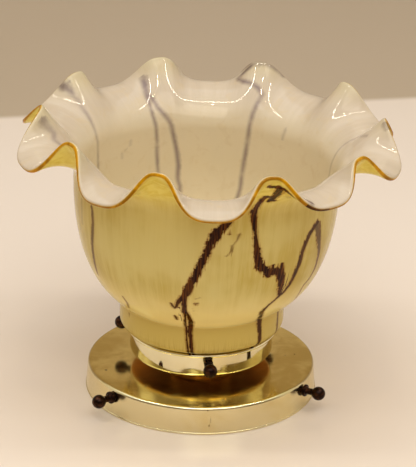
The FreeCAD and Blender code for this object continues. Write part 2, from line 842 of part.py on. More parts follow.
def earth_tag():
    """Ring tag clamped by the stem nut, with a barrel for the earth lead."""
    plate = ring(tag_r, stem_hole_r, tag_z, strap_z)
    tail = block(-tag_barrel_r, tag_barrel_r, tag_r - 1.0, tag_r + tag_barrel_length, tag_z, strap_z)
    start = V(0, tag_r + 0.5, barrel_z)
    barrel = Part.makeCylinder(tag_barrel_r, tag_barrel_length - 0.5, start, V(0, 1, 0))
    piece = plate.fuse(tail).fuse(barrel)
    bore = Part.makeCylinder(lead_r + thread_gap, tag_barrel_length - 0.5, start, V(0, 1, 0))
    return piece.cut(bore).removeSplitter()


def earth_lead():
    """Insulated lead from the tag's barrel to the middle way of the block."""
    start = tag_r + 1.0
    entry = block_near_y
    bend = tag_r + tag_barrel_length + 2.5
    return lead([
        V(0, start, barrel_z), V(0, bend, barrel_z),
        V(0, bend + (entry - bend) * 0.6, tube_z), V(0, entry + lead_entry, tube_z),
    ])


def main():
    os.makedirs("parts", exist_ok=True)
    pieces = {
        "ceiling_plate": ceiling_plate(),
        "cable_grommet": cable_grommet(),
        "canopy": canopy(),
        "stem": stem(),
        "stem_bush": stem_bush(),
        "stem_lock_washer": ring(washer_r, stem_hole_r, strap_top_z, canopy_ceiling_z),
        "stem_lock_nut": hex_nut(stem_nut_z),
        "spacer": spacer(),
        "gallery": gallery(),
        "gallery_washer": ring(washer_r, stem_hole_r, seat_z, gallery_nut_z),
        "gallery_nut": hex_nut(gallery_nut_z),
        "lampholder_cap": lampholder_cap(),
        "lampholder_shell": lampholder_shell(),
        "lampholder_insulator": lampholder_insulator(),
        "lamp_screw_shell": lamp_screw_shell(),
        "centre_contact": centre_contact(),
        "side_contact": side_contact(),
        "holder_terminal_screws": holder_terminal_screws(),
        "holder_lock_screw": holder_lock_screw(),
        "terminal_strap": terminal_strap(),
        "terminal_block": terminal_block(),
        "terminal_tubes": terminal_tubes(),
        "terminal_block_screws": terminal_block_screws(),
        "block_fixing_screw": block_fixing_screw(),
        "live_lead": holder_lead(-1),
        "neutral_lead": holder_lead(1),
        "earth_tag": earth_tag(),
        "earth_lead": earth_lead(),
        "glass_shade": glass_shade(),
    }
    canopy_screw = thumb_screw(canopy_tip_r, canopy_face_r, canopy_collar_r, canopy_ball_reach)
    gallery_screw = thumb_screw(gallery_tip_r, gallery_r, gallery_collar_r, gallery_ball_reach)
    for place, angle in canopy_screw_angles.items():
        pieces["canopy_screw_" + place] = at_angle(canopy_screw, angle, canopy_screw_z)
    for place, angle in gallery_screw_angles.items():
        pieces["gallery_screw_" + place] = at_angle(gallery_screw, angle, gallery_screw_z)
    for name, piece in pieces.items():
        shape = Part.makeCompound(piece) if isinstance(piece, list) else piece
        shape.exportStep("parts/" + name + ".step")
        box = shape.BoundBox
        print(name, len(shape.Solids), shape.isValid(), round(shape.Volume, 1),
              [round(value, 2) for value in (box.XMin, box.YMin, box.ZMin, box.XMax, box.YMax, box.ZMax)])


main()
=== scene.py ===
import bmesh
import bpy
import json
import math
import numpy as np
from mathutils import Matrix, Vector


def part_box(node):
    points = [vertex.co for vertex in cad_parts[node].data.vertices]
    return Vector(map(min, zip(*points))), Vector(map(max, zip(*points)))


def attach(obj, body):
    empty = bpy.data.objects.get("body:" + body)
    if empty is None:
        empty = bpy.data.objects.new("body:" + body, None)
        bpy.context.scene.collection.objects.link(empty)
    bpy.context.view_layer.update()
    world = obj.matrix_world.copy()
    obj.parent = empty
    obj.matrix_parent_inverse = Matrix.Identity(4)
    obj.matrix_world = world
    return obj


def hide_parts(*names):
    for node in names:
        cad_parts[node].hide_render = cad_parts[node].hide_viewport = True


# Ceiling light with a ruffled glass shade, standing on its canopy.
# Outlines are in millimetres and become metres when a mesh is made.
# Angles round the axis are in degrees from -Y, growing towards +X.

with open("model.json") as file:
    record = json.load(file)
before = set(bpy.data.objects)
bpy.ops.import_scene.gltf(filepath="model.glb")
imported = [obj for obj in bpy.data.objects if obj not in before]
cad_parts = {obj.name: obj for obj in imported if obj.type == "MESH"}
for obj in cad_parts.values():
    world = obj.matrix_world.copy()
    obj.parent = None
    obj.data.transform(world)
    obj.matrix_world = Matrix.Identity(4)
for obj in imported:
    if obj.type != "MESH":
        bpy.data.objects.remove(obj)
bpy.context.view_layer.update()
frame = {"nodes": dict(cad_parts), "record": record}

MM = 0.001
ARC_STEP = 15.0
DOUBLE = 1e-7
SLIVER = 1e-8


def foot_top(node):
    """Heights of a CAD node's foot and top, in millimetres."""
    low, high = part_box(node)
    return low[2] / MM, high[2] / MM


# Heights read from the frame
canopy_top = foot_top("canopy")[1]
spacer_foot, spacer_top = foot_top("spacer")
gallery_foot, gallery_top = foot_top("gallery")
glass_seat = foot_top("glass_shade")[0]
holder_foot, holder_top = foot_top("lampholder_shell")
lamp_thread_foot, lamp_thread_top = foot_top("lamp_screw_shell")
stem_foot, stem_top = foot_top("stem")


def unit(vectors):
    """Vectors scaled to a length of one."""
    return vectors / np.linalg.norm(vectors, axis=-1, keepdims=True)


def round_axis(radius, height, angle):
    """Points at radii, heights and angles round the axis."""
    turn = np.radians(angle)
    return np.stack(np.broadcast_arrays(radius * np.sin(turn), -radius * np.cos(turn), height), axis=-1)


def screw_axis(bearing, height):
    """Placing function round an axis that points outwards at one angle and height."""
    turn = math.radians(bearing)
    outward = np.array([math.sin(turn), -math.cos(turn), 0.0])
    upward = np.array([0.0, 0.0, 1.0])
    across = np.cross(outward, upward)

    def place(radius, along, angle):
        round_it = np.radians(angle)
        up = (radius * np.cos(round_it))[..., None] * upward
        side = (radius * np.sin(round_it))[..., None] * across
        return up + side + along[..., None] * outward + height * upward
    return place


def smooth_step(value):
    """Rise from 0 to 1, level at both ends: three times the square less twice the cube."""
    value = np.clip(value, 0.0, 1.0)
    return value * value * (3.0 - 2.0 * value)


def degrees_past(angle, bearing):
    """Degrees from a bearing to each angle, between -180 and 180."""
    return np.mod(angle - bearing + 180.0, 360.0) - 180.0


def outline(corners, longest=4.0, beside=0.12, closed=True):
    """Outline through (r, z, radius) corners, counter-clockwise.

    Each corner becomes an arc of its radius: the spherical blend of its two end directions.
    Straight runs get a support point beside each end and points no further apart than the longest step.
    """
    corners = np.array(corners, float)
    r, z = corners[:, :2].T
    if np.sum(r * np.roll(z, -1) - np.roll(r, -1) * z) < 0:
        corners = corners[::-1]
    here = corners[:, :2]
    radius = corners[:, 2]
    back = unit(np.roll(here, 1, axis=0) - here)
    ahead = unit(np.roll(here, -1, axis=0) - here)
    half = np.arccos(np.clip(np.sum(back * ahead, axis=1), -1.0, 1.0)) / 2.0
    reach = (radius / np.tan(half))[:, None]
    centre = here + unit(back + ahead) * (radius / np.sin(half))[:, None]
    start = here + back * reach
    finish = here + ahead * reach
    turn = math.pi - 2.0 * half
    points = []
    for k in range(len(here)):
        if radius[k] > 0:
            steps = max(3, int(math.ceil(math.degrees(turn[k]) / ARC_STEP)))
            share = np.linspace(0.0, 1.0, steps + 1)[:, None]
            first = np.sin((1.0 - share) * turn[k]) * (start[k] - centre[k])
            last = np.sin(share * turn[k]) * (finish[k] - centre[k])
            points.append(centre[k] + (first + last) / math.sin(turn[k]))
        else:
            points.append(here[k:k + 1])
        run = np.roll(start, -1, axis=0)[k] - finish[k]
        length = np.linalg.norm(run)
        if length > 4.0 * beside and (closed or k < len(here) - 1):
            count = int(length / longest) + 2
            places = np.concatenate([[beside], np.linspace(0.0, length, count)[1:-1], [length - beside]])
            points.append(finish[k] + run * (places / length)[:, None])
    return np.concatenate(points)


def grid_faces(rows, columns, closed=True, wrapped=True):
    """Quads of a grid whose last row meets its first where closed, and whose last column where wrapped."""
    row = np.arange(rows if closed else rows - 1)[:, None]
    column = np.arange(columns if wrapped else columns - 1)[None, :]
    after = (column + 1) % columns
    here = row * columns
    above = (row + 1) % rows * columns
    corners = np.broadcast_arrays(here + column, here + after, above + after, above + column)
    return np.stack(corners, axis=-1).reshape(-1, 4)


def shown(name, data):
    """Object that holds a mesh, a lamp or a camera, linked into the scene."""
    made = bpy.data.objects.new(name, data)
    bpy.context.scene.collection.objects.link(made)
    return made


def orient(holder, right, top, back, place):
    """Set an object at a place with its x, y and z axes along three directions."""
    rows = np.column_stack([right, top, back, place]).tolist()
    holder.matrix_world = Matrix(rows + [[0.0, 0.0, 0.0, 1.0]])


def smooth_mesh(name, points, faces):
    """Mesh from points in metres, shaded smooth, with doubles merged and slivers dissolved."""
    mesh = bpy.data.meshes.new(name)
    mesh.from_pydata(points.reshape(-1, 3).tolist(), [], faces.tolist())
    work = bmesh.new()
    work.from_mesh(mesh)
    bmesh.ops.remove_doubles(work, verts=work.verts, dist=DOUBLE)
    bmesh.ops.dissolve_degenerate(work, edges=work.edges, dist=SLIVER)
    work.to_mesh(mesh)
    work.free()
    mesh.polygons.foreach_set("use_smooth", np.ones(len(mesh.polygons), bool))
    return mesh


def make_piece(name, points, faces, finish, body, nodes=(), crease=35.0):
    """Piece from points in millimetres that stands for its CAD nodes, smooth except across creases."""
    mesh = smooth_mesh(name, points * MM, faces)
    mesh.set_sharp_from_angle(angle=math.radians(crease))
    mesh.materials.append(materials[finish])
    piece = shown(name, mesh)
    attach(piece, body)
    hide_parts(*nodes)
    return piece


def turned(name, corners, finish, node, body="fitting", columns=192, longest=4.0, closed=True, work=None,
           place=round_axis):
    """Turned piece: every point of the outline swept through a full turn.

    work may change the grid of radii and places along the axis by the angle of the turn.
    """
    ring = outline(corners, longest, closed=closed)
    angle = np.arange(columns) * 360.0 / columns
    radius = ring[:, :1] + 0.0 * angle
    along = ring[:, 1:] + 0.0 * angle
    if work:
        radius, along = work(radius, along, angle)
    faces = grid_faces(*radius.shape, closed)
    return make_piece(name, place(radius, along, angle), faces, finish, body, (node,))


def thread(low, high, pitch, depth, inner, outer):
    """Work that sinks a thread into the wall between two radii, from one place to another along it.

    The depth follows a raised cosine of the turns along less the turns round, and fades at both ends.
    """
    def work(radius, along, angle):
        turns = along / pitch - angle / 360.0
        fade = smooth_step((along - low) / pitch) * smooth_step((high - along) / pitch)
        sunk = depth * (1.0 + np.cos(2.0 * np.pi * turns)) / 2.0 * fade
        return radius - np.where((radius >= inner) & (radius <= outer), sunk, 0.0), along
    return work


# Finishes

class Signal:
    """One output in a node tree. Arithmetic with it adds nodes to the tree."""

    def __init__(self, nodes, socket):
        self.nodes = nodes
        self.socket = socket

    def __add__(self, other):
        return self.nodes.math("ADD", self, other)

    def __mul__(self, other):
        return self.nodes.math("MULTIPLY", self, other)

    def __sub__(self, other):
        return self.nodes.math("SUBTRACT", self, other)

    def __rsub__(self, other):
        return self.nodes.math("SUBTRACT", other, self)


class Nodes:
    """A node tree that is built up one node at a time, with its own idea of place."""

    def __init__(self, tree, place="Object"):
        self.tree = tree
        self.place = self.make("ShaderNodeTexCoord", outlet=place)

    def put(self, socket, value):
        """Link a signal, or write a constant, to an input."""
        if isinstance(value, Signal):
            self.tree.links.new(value.socket, socket)
        elif value is not None:
            socket.default_value = value

    def node(self, kind, *values, **settings):
        """New node with its settings, and with values for its inputs in their order, None to leave one."""
        made = self.tree.nodes.new(kind)
        for setting, value in settings.items():
            setattr(made, setting, value)
        for socket, value in zip(made.inputs, values):
            self.put(socket, value)
        return made

    def make(self, kind, *values, outlet=0, **settings):
        """Signal from one output of a new node."""
        return Signal(self, self.node(kind, *values, **settings).outputs[outlet])

    def math(self, operation, *values):
        return self.make("ShaderNodeMath", *values, operation=operation)

    def vector(self, operation, *values, outlet=0):
        return self.make("ShaderNodeVectorMath", *values, operation=operation, outlet=outlet)

    def spread(self, value, low, high, to_low=0.0, to_high=1.0):
        """Value between two ends taken smoothly to a new range."""
        ends = (low, high, to_low, to_high)
        return self.make("ShaderNodeMapRange", value, *ends, interpolation_type="SMOOTHSTEP")

    def mix(self, share, a, b):
        """Colour a blended with colour b."""
        return self.make("ShaderNodeMix", share, *[None] * 5, a, b, data_type="RGBA", outlet=2)

    def tint(self, base, value, low, high, colour, most=1.0):
        """Base colour that gives way to another, up to a share, as a value goes between two ends."""
        return self.mix(self.spread(value, low, high, 0.0, most), base, colour)

    def noise(self, scale, detail=3, rough=0.5, at=None, warp=0):
        """Clouds between 0 and 1, in place or at other coordinates."""
        unused = (None, None, None)
        return self.make("ShaderNodeTexNoise", at or self.place, None, scale, detail, rough, *unused, warp)

    def cells(self, scale):
        """Distance from scattered points, in cells of one size."""
        return self.make("ShaderNodeTexVoronoi", self.place, None, scale)

    def attribute(self, name):
        return self.make("ShaderNodeAttribute", attribute_name=name, outlet="Vector")

    def parts(self, vector):
        """The three parts of a vector."""
        return [Signal(self, part) for part in self.node("ShaderNodeSeparateXYZ", vector).outputs]


class Finish(Nodes):
    """One material on a single glossy surface shader."""

    def __init__(self, name, **constants):
        self.material = bpy.data.materials.new(name)
        self.material.use_nodes = True
        super().__init__(self.material.node_tree)
        self.surface = self.tree.nodes["Principled BSDF"]
        for socket, value in constants.items():
            self.drive(socket.replace("_", " "), value)

    def drive(self, socket, value):
        """Signal or constant for one input of the surface shader."""
        self.put(self.surface.inputs[socket], value)

    def bump(self, height, strength, distance):
        """Fine relief by a height, whose full range is a distance in metres."""
        self.drive("Normal", self.make("ShaderNodeBump", strength, distance, None, height))


def rgb(red, green, blue):
    """Linear colour from the 0 to 255 values seen on a screen."""
    seen = np.array([red, green, blue]) / 255.0
    linear = np.where(seen <= 0.04045, seen / 12.92, ((seen + 0.055) / 1.055) ** 2.4)
    return (*linear.tolist(), 1.0)


def brass(name, clean, dull, shine, grain=0.25, top_tarnish_and_light=None, stains_and_shade=(), stain_and_shade_colour=rgb(88, 58, 28)):
    """Lacquered brass: clouds of dull tarnish, rubbed patches, sparse specks and rings from spinning.

    The top colours are a height in millimetres and two colours: above the height the brass gets tarnish
    clouds in these colours, painted brighter and yellower than the rest, which is painted light on the top.
    Each stain or patch of painted shade has a centre and half sizes in millimetres and a strength, and the
    specks share their colour.
    """
    finish = Finish(name, Metallic=1.0)
    x, y, z = finish.parts(finish.place)
    clouds = finish.noise(30, detail=5, rough=0.6, warp=0.7)
    blotches = finish.noise(75, detail=4, rough=0.6, warp=1)
    tone = finish.tint(clean, clouds, 0.40, 0.72, dull, 0.8)
    wear = finish.spread(blotches, 0.42, 0.7, shine, shine + 0.05)
    if top_tarnish_and_light:
        # Painted light: above this height the top's tarnish clouds take two colours brighter and yellower
        # than the side's.
        height, pale, deep = top_tarnish_and_light
        top = finish.spread(z, height * MM - 0.0006, height * MM)
        tone = finish.mix(top, tone, finish.tint(pale, clouds + blotches * 0.5, 0.62, 0.92, deep))
        wear = wear + top * finish.spread(blotches, 0.35, 0.7, -0.09, 0.0)
    specks = finish.spread(finish.cells(150), 0.05, 0.11, 1.0, 0.0)
    marks = specks * finish.spread(finish.noise(45, detail=1), 0.64, 0.70)
    for centre, half, strength in stains_and_shade:
        apart = finish.vector("SUBTRACT", finish.place, tuple(np.multiply(centre, MM)))
        apart = finish.vector("DIVIDE", apart, tuple(np.multiply(half, MM)))
        spot = finish.spread(finish.vector("LENGTH", apart, outlet=1), 0.5, 1.3, strength, 0.0)
        marks = finish.math("MAXIMUM", marks, spot)
    finish.drive("Base Color", finish.mix(marks * 0.85, tone, stain_and_shade_colour))
    finish.drive("Roughness", wear + marks * 0.3)
    rings = finish.make("ShaderNodeCombineXYZ", finish.math("SQRT", x * x + y * y), None, z)
    spun = finish.noise(1900, detail=2, at=rings)
    finish.bump(spun * grain + finish.noise(120, detail=2), 0.04, 0.0006)
    return finish.material


def plain(name, light, dark, noise, tones, wear, grain, relief, **constants):
    """Finish of two colours: one noise gives the patches of colour and of shine, a finer one the grain.

    tones are the ends of the noise between the colours, wear is the ends of the noise and of the roughness,
    and relief is the strength and the depth of the grain.
    """
    finish = Finish(name, **constants)
    patches = finish.noise(*noise)
    finish.drive("Base Color", finish.tint(rgb(*light), patches, *tones, rgb(*dark)))
    finish.drive("Roughness", finish.spread(patches, *wear))
    finish.bump(finish.noise(grain), *relief)
    return finish.material


vein_field_names = ("offset", "half", "on_skin", "on_lining")


def veined(finish, base, drawn, inside, run):
    """Base colour with dark veins, ragged on the skin, and blurred where they show through the lining.

    Each of three layers gives the offset across a vein and the vein's half width, so a vein covers what
    lies nearer than its half width. Weak veins lie deeper, with softer edges.
    """
    fields = [finish.parts(finish.attribute("vein_" + field)) for field in vein_field_names]
    ragged = finish.noise(420, detail=4, rough=0.7, warp=0.5) - 0.5
    torn = finish.noise(1000, detail=3, rough=0.6, at=drawn) - 0.5
    wild = ragged * 2.2 + torn * 2.2
    patchy = finish.spread(finish.noise(90), 0.3, 0.6, 0.55, 1.0)
    core = fringe = smoke = 0.0
    for offset, half, on_skin, on_lining in zip(*fields):
        across = finish.math("ABSOLUTE", offset + ragged * 0.0008)
        cover = half * (wild * on_skin + 1.3) - across
        soft = finish.math("MULTIPLY_ADD", on_skin, -0.0011, 0.0011)
        core = finish.math("MAXIMUM", core, finish.spread(cover, soft * -1.0, soft + 0.0004) * on_skin)
        fringe = finish.math("MAXIMUM", fringe, finish.spread(cover, -0.0012, 0.0001) * on_skin)
        veil = finish.spread(half * (ragged + 1.0) - across, -0.0018, 0.0014) * on_lining
        smoke = finish.math("MAXIMUM", smoke, veil * patchy)
    outside = 1.0 - inside
    dark = finish.tint(rgb(36, 4, 0), torn, -0.1, 0.22, rgb(108, 58, 6))
    veiled = finish.tint(rgb(122, 102, 100), run, 0.128, 0.142, rgb(88, 64, 66))
    base = finish.mix(fringe * outside * 0.6, base, rgb(150, 88, 16))
    base = finish.mix(core * outside, base, dark)
    return finish.mix(smoke * inside * 0.85, base, veiled)


def opal_glass():
    """Cased glass: an amber skin over white opal, with dark veins drawn between the two.

    The inside mask is 0 on the amber skin and 1 on the white lining, and the rim mask is 1 on the amber
    edge between them. The run is the way up the wall and the height is above the ceiling plane, in metres.
    """
    finish = Finish(
        "opal_glass", IOR=1.5, Specular_Tint=(1.0, 0.87, 0.7, 1.0),
        Subsurface_Weight=0.05, Subsurface_Scale=0.003, Subsurface_Radius=(1.0, 0.8, 0.5))
    drawn = finish.attribute("drawn")
    inside, rim, run = finish.parts(finish.attribute("masks"))
    height = finish.parts(finish.place)[2]

    # Streaks drawn out along the wall, and slow clouds
    fine = finish.noise(1500, detail=2, at=drawn)
    broad = finish.noise(300, detail=3, at=drawn)
    cloud = finish.noise(17, detail=4)
    mottle = finish.noise(110, detail=3, rough=0.6, warp=0.8)
    streaks = fine * 0.2 + (broad * 0.4 + cloud * 0.4)

    # Amber skin: deep yellow under the flare, palest low on the bowl, duller and dripping round the neck
    amber = finish.tint(rgb(240, 223, 116), mottle, 0.36, 0.66, rgb(224, 200, 82))
    skin = finish.tint(rgb(202, 178, 92), streaks, 0.36, 0.62, rgb(217, 198, 122))
    for value, low, high, colour, most in (
            (cloud, 0.48, 0.64, rgb(222, 205, 132), 0.75), (cloud, 0.46, 0.34, rgb(190, 162, 74), 0.75),
            # The flare's deep yellow is the amber's own colour painted brighter, painted light for light
            # through the thin flare; the low bowl's pallor is thinner amber and painted light, for light
            # through the glass and the table's reflection.
            (run, 0.106, 0.126, amber, 0.85), (run, 0.062, 0.034, rgb(250, 230, 154), 0.9),
            (run, 0.021, 0.017, rgb(208, 180, 84), 0.75)):
        skin = finish.tint(skin, value, low, high, colour, most)
    drips = finish.spread(run, 0.014, 0.0) * finish.spread(fine, 0.44, 0.64, 0.0, 0.4)
    skin = finish.mix(drips, skin, rgb(166, 124, 40))

    # White lining: yellower on the crests and down in the bowl, and palest at its foot
    lining = finish.tint(rgb(197, 178, 151), streaks, 0.36, 0.66, rgb(205, 186, 159))
    for value, low, high, colour, most in (
            # Down in the bowl the lining is painted brighter, palest at its foot: painted light where the
            # flare would shade the inside.
            (height, 0.156, 0.172, rgb(206, 190, 140), 0.5), (run, 0.126, 0.100, rgb(225, 208, 171), 1.0),
            (run, 0.100, 0.080, rgb(220, 202, 162), 1.0), (run, 0.064, 0.034, rgb(232, 217, 184), 0.8),
            (mottle, 0.5, 0.75, rgb(206, 180, 134), 0.3)):
        lining = finish.tint(lining, value, low, high, colour, most)

    base = finish.mix(inside, skin, lining)
    base = finish.mix(rim, base, finish.tint(rgb(196, 136, 6), mottle, 0.35, 0.65, rgb(148, 96, 2)))
    finish.drive("Base Color", veined(finish, base, drawn, inside, run))
    finish.drive("Specular IOR Level", finish.spread(inside, 0.0, 1.0, 0.13, 0.5))
    finish.drive("Roughness", finish.spread(cloud, 0.3, 0.7, 0.012, 0.03))
    finish.bump(broad * 0.08 + finish.noise(40, detail=2), 0.05, 0.002)
    return finish.material


canopy_stains = (
    ((-55.4, -20.0, canopy_top), (0.9, 0.9, 0.6), 0.9),
    ((5.5, -67.2, 5.7), (0.6, 0.7, 1.0), 0.6),
    ((6.3, -67.1, 8.9), (0.4, 0.7, 2.4), 0.3),
)
# Reddish-brown patch round the gallery's foot and the spacer's top: painted shade that browns their shaded
# reflection in the canopy.
gallery_foot_painted_shade = ((0, 0, gallery_foot), (62, 62, 1.0), 1.0)
materials = {
    "canopy_brass": brass(
        "canopy_brass", rgb(239, 227, 184), rgb(228, 208, 147), 0.2,
        # The canopy's top takes its own brighter, yellower colours: painted light, over clouds of tarnish.
        top_tarnish_and_light=(canopy_top, rgb(246, 229, 152), rgb(218, 196, 114)), stains_and_shade=canopy_stains),
    "polished_brass": brass(
        "polished_brass", rgb(243, 235, 198), rgb(226, 206, 150), 0.06,
        # Painted shade, reddish brown, round the gallery's foot.
        stains_and_shade=(gallery_foot_painted_shade,), stain_and_shade_colour=rgb(184, 100, 44)),
    "turned_brass": brass("turned_brass", rgb(230, 206, 144), rgb(200, 168, 100), 0.2, 0.6),
    "spring_brass": brass("spring_brass", rgb(222, 200, 140), rgb(196, 164, 102), 0.24, 0.4),
    # Nearly black, with the brown showing where fingers rub it
    "dark_bronze": plain(
        "dark_bronze", (30, 14, 7), (80, 46, 24), (420, 4, 0.6), (0.42, 0.72), (0.35, 0.7, 0.3, 0.45),
        900, (0.15, 0.0002), Metallic=0.85),
    "zinc_steel": plain(
        "zinc_steel", (196, 198, 202), (160, 162, 166), (90, 5, 0.6, None, 0.8), (0.35, 0.7),
        (0.3, 0.7, 0.28, 0.5), 1080, (0.12, 0.0003), Metallic=1.0),
}
for name, light, dark, low, high, grain in (
        ("grommet_rubber", (34, 33, 32), (46, 44, 42), 0.6, 0.8, 1500),
        ("white_plastic", (232, 228, 216), (220, 214, 200), 0.35, 0.5, 900),
        ("porcelain", (236, 232, 222), (224, 218, 204), 0.08, 0.16, 300),
        ("live_insulation", (98, 58, 34), (84, 48, 28), 0.4, 0.55, 1200),
        ("neutral_insulation", (42, 84, 158), (34, 72, 140), 0.4, 0.55, 1200),
        ("earth_insulation", (84, 142, 54), (190, 186, 60), 0.4, 0.55, 1200)):
    materials[name] = plain(
        name, light, dark, (130, 4), (0.3, 0.7), (0.3, 0.7, low, high), grain, (0.12, 0.0003))
materials["opal_glass"] = opal_glass()
slot_of = {row["node"]: row["material_slot"] for row in frame["record"]["subparts"]}

# Glass shade: the neck, the bowl and the ruffled flare of the solid, with the same driving sizes

glass_wall = 3.0
lip_height = 5.2
lip_round = 1.8
fitter_r = 40.4
groove_depth = 0.6
groove_slope = 0.9
groove_width = 4.6
groove_round = 0.4
neck_r = 48.3
neck_lift = 0.5
neck_height = 18.5
neck_slope = 1.4
neck_shoulder_r = 6.0
bowl_r = 76.8
bowl_height = 76.5
bowl_base_out = 15.7
bowl_base_up = 10.0
bowl_side_drop = 46.0
shade_lean = 1.3
lean_blend = 10.0
ruffle_count = 10
first_crest = -52.0
flare_start = 15.0
flare_length = 40.0
flare_foot = ((bowl_r - glass_wall / 2.0, 0.0), (bowl_r - glass_wall / 2.0, flare_start))
lobe = (*flare_foot, (94.0, 23.8), (110.0, 16.8))
crest = (*flare_foot, (90.0, 23.0), (100.0, 35.0))
rim_pull = (0.0, 0.0, 0.6, 1.0)
crest_sharpness = 1.9
crest_roundness = 1.4
poles_per_ruffle = 16

# Each crest's degrees round, millimetres up and millimetres out, and the droop of the lobe after it
hand_work = np.array([
    (4.5, 3, 0, 1.6), (0.4, -1.2, 0, 2), (-0.4, -1.4, 0, 0.4), (-1, -2.3, 0, 1.6), (0.5, -2, 0, 0.4),
    (-2, 1, 0, -0.4), (-2, 0, 0, 0), (-2, 0.4, 0, -0.4), (-3.6, 0.4, 0, -0.4), (-1, 0, -5, 1.4),
])

shoulder_z = gallery_top + neck_lift
crease_z = shoulder_z + neck_height
bowl_top_z = crease_z + bowl_height
glass_columns = 440
bowl_steps = 38
flare_steps = 28
rim_steps = 10

# Shares of the way round the rim where the amber edge and the lining start, and how softly they do
amber_start = 0.05
lining_start = 0.55
edge_blend = 0.2


def ruffle_phase(angle):
    """Crest before each angle, and the phase from it (0) to the next crest (a full turn)."""
    crests = first_crest + 360.0 / ruffle_count * np.arange(ruffle_count) + hand_work[:, 0]
    turn = crests[0] + np.mod(angle - crests[0], 360.0)
    index = np.searchsorted(crests, turn, side="right") - 1
    following = np.append(crests[1:], crests[0] + 360.0)
    return index, 2.0 * np.pi * (turn - crests[index]) / (following[index] - crests[index])


def flare_rings(angle):
    """Four control rings of the flare's middle surface.

    A raised cosine of the phase, to a power that keeps the lobes full, blends the drooping lobe into the
    standing crest. A bump near its top, the fourth power times what is left to one, rounds the crests.
    """
    index, phase = ruffle_phase(angle)
    marks = hand_work[index] + (hand_work[(index + 1) % ruffle_count] - hand_work[index]) * (
        phase / (2.0 * np.pi))[:, None]
    share = ((1.0 + np.cos(phase)) / 2.0) ** crest_sharpness
    share += crest_roundness * share ** 4 * (1.0 - share)
    rings = []
    for (lobe_r, lobe_z), (crest_r, crest_z), pull in zip(lobe, crest, rim_pull):
        low = lobe_z - hand_work[index, 3] * pull
        high = crest_z + marks[:, 1] * pull
        radius = lobe_r + (crest_r + marks[:, 2] * pull - lobe_r) * share
        rings.append(round_axis(radius, bowl_top_z + low + (high - low) * share, angle))
    return np.stack(rings)


def lean(points):
    """Bowl and flare tipped about the neck's top: across by the rise, and down by the distance across."""
    rise = points[..., 2] - crease_z
    slope = math.tan(math.radians(shade_lean))
    moved = points.copy()
    moved[..., 0] += np.maximum(rise, 0.0) * slope
    moved[..., 2] -= points[..., 0] * slope * np.clip(rise / lean_blend, 0.0, 1.0)
    return moved


def blown(rings, steps):
    """Surface from control rings: a cubic B-spline round the axis and a Bezier curve from ring to ring."""
    poles = rings.shape[1]
    swell = 3.0 / (2.0 + math.cos(2.0 * math.pi / poles))
    control = lean(rings * np.array([swell, swell, 1.0]))
    place = np.arange(glass_columns) * poles / glass_columns
    before = np.floor(place).astype(int)
    f = (place - before)[:, None]
    weights = ((1 - f) ** 3, 3 * f ** 3 - 6 * f ** 2 + 4, -3 * f ** 3 + 3 * f ** 2 + 3 * f + 1, f ** 3)
    around = sum(w / 6.0 * control[:, (before + k - 1) % poles] for k, w in enumerate(weights))
    t = np.linspace(0.0, 1.0, steps + 1)[:, None, None]
    curve = ((1 - t) ** 3, 3 * (1 - t) ** 2 * t, 3 * (1 - t) * t ** 2, t ** 3)
    return sum(w * ring for w, ring in zip(curve, around))


def neck_outline():
    """Outline from the inner crease down to the lip and up to the outer crease, and the lip's row."""
    half = glass_wall / 2.0
    inner_r = neck_r - glass_wall
    groove_r = fitter_r - groove_depth
    bore_r = groove_r - glass_wall
    groove_low = glass_seat + lip_height
    groove_high = groove_low + groove_width
    neck = outline((
        (inner_r, crease_z, 0), (inner_r, shoulder_z + neck_slope + half, neck_shoulder_r / 2),
        (bore_r, shoulder_z + half, neck_shoulder_r / 3), (bore_r, glass_seat, half / 2),
        (fitter_r, glass_seat, lip_round), (fitter_r, groove_low - groove_slope, 0.5),
        (groove_r, groove_low, groove_round), (groove_r, groove_high, groove_round),
        (fitter_r, groove_high + groove_slope, groove_round), (fitter_r, shoulder_z, 1.0),
        (neck_r, shoulder_z + neck_slope, neck_shoulder_r), (neck_r, crease_z, 0),
    ), longest=3.0)
    neck = np.roll(neck, -np.argmin(np.hypot(neck[:, 0] - inner_r, neck[:, 1] - crease_z)), axis=0)
    neck = neck[:np.argmin(np.hypot(neck[:, 0] - neck_r, neck[:, 1] - crease_z))]
    return neck, np.argmin(neck[:, 1] + 0.01 * neck[:, 0])


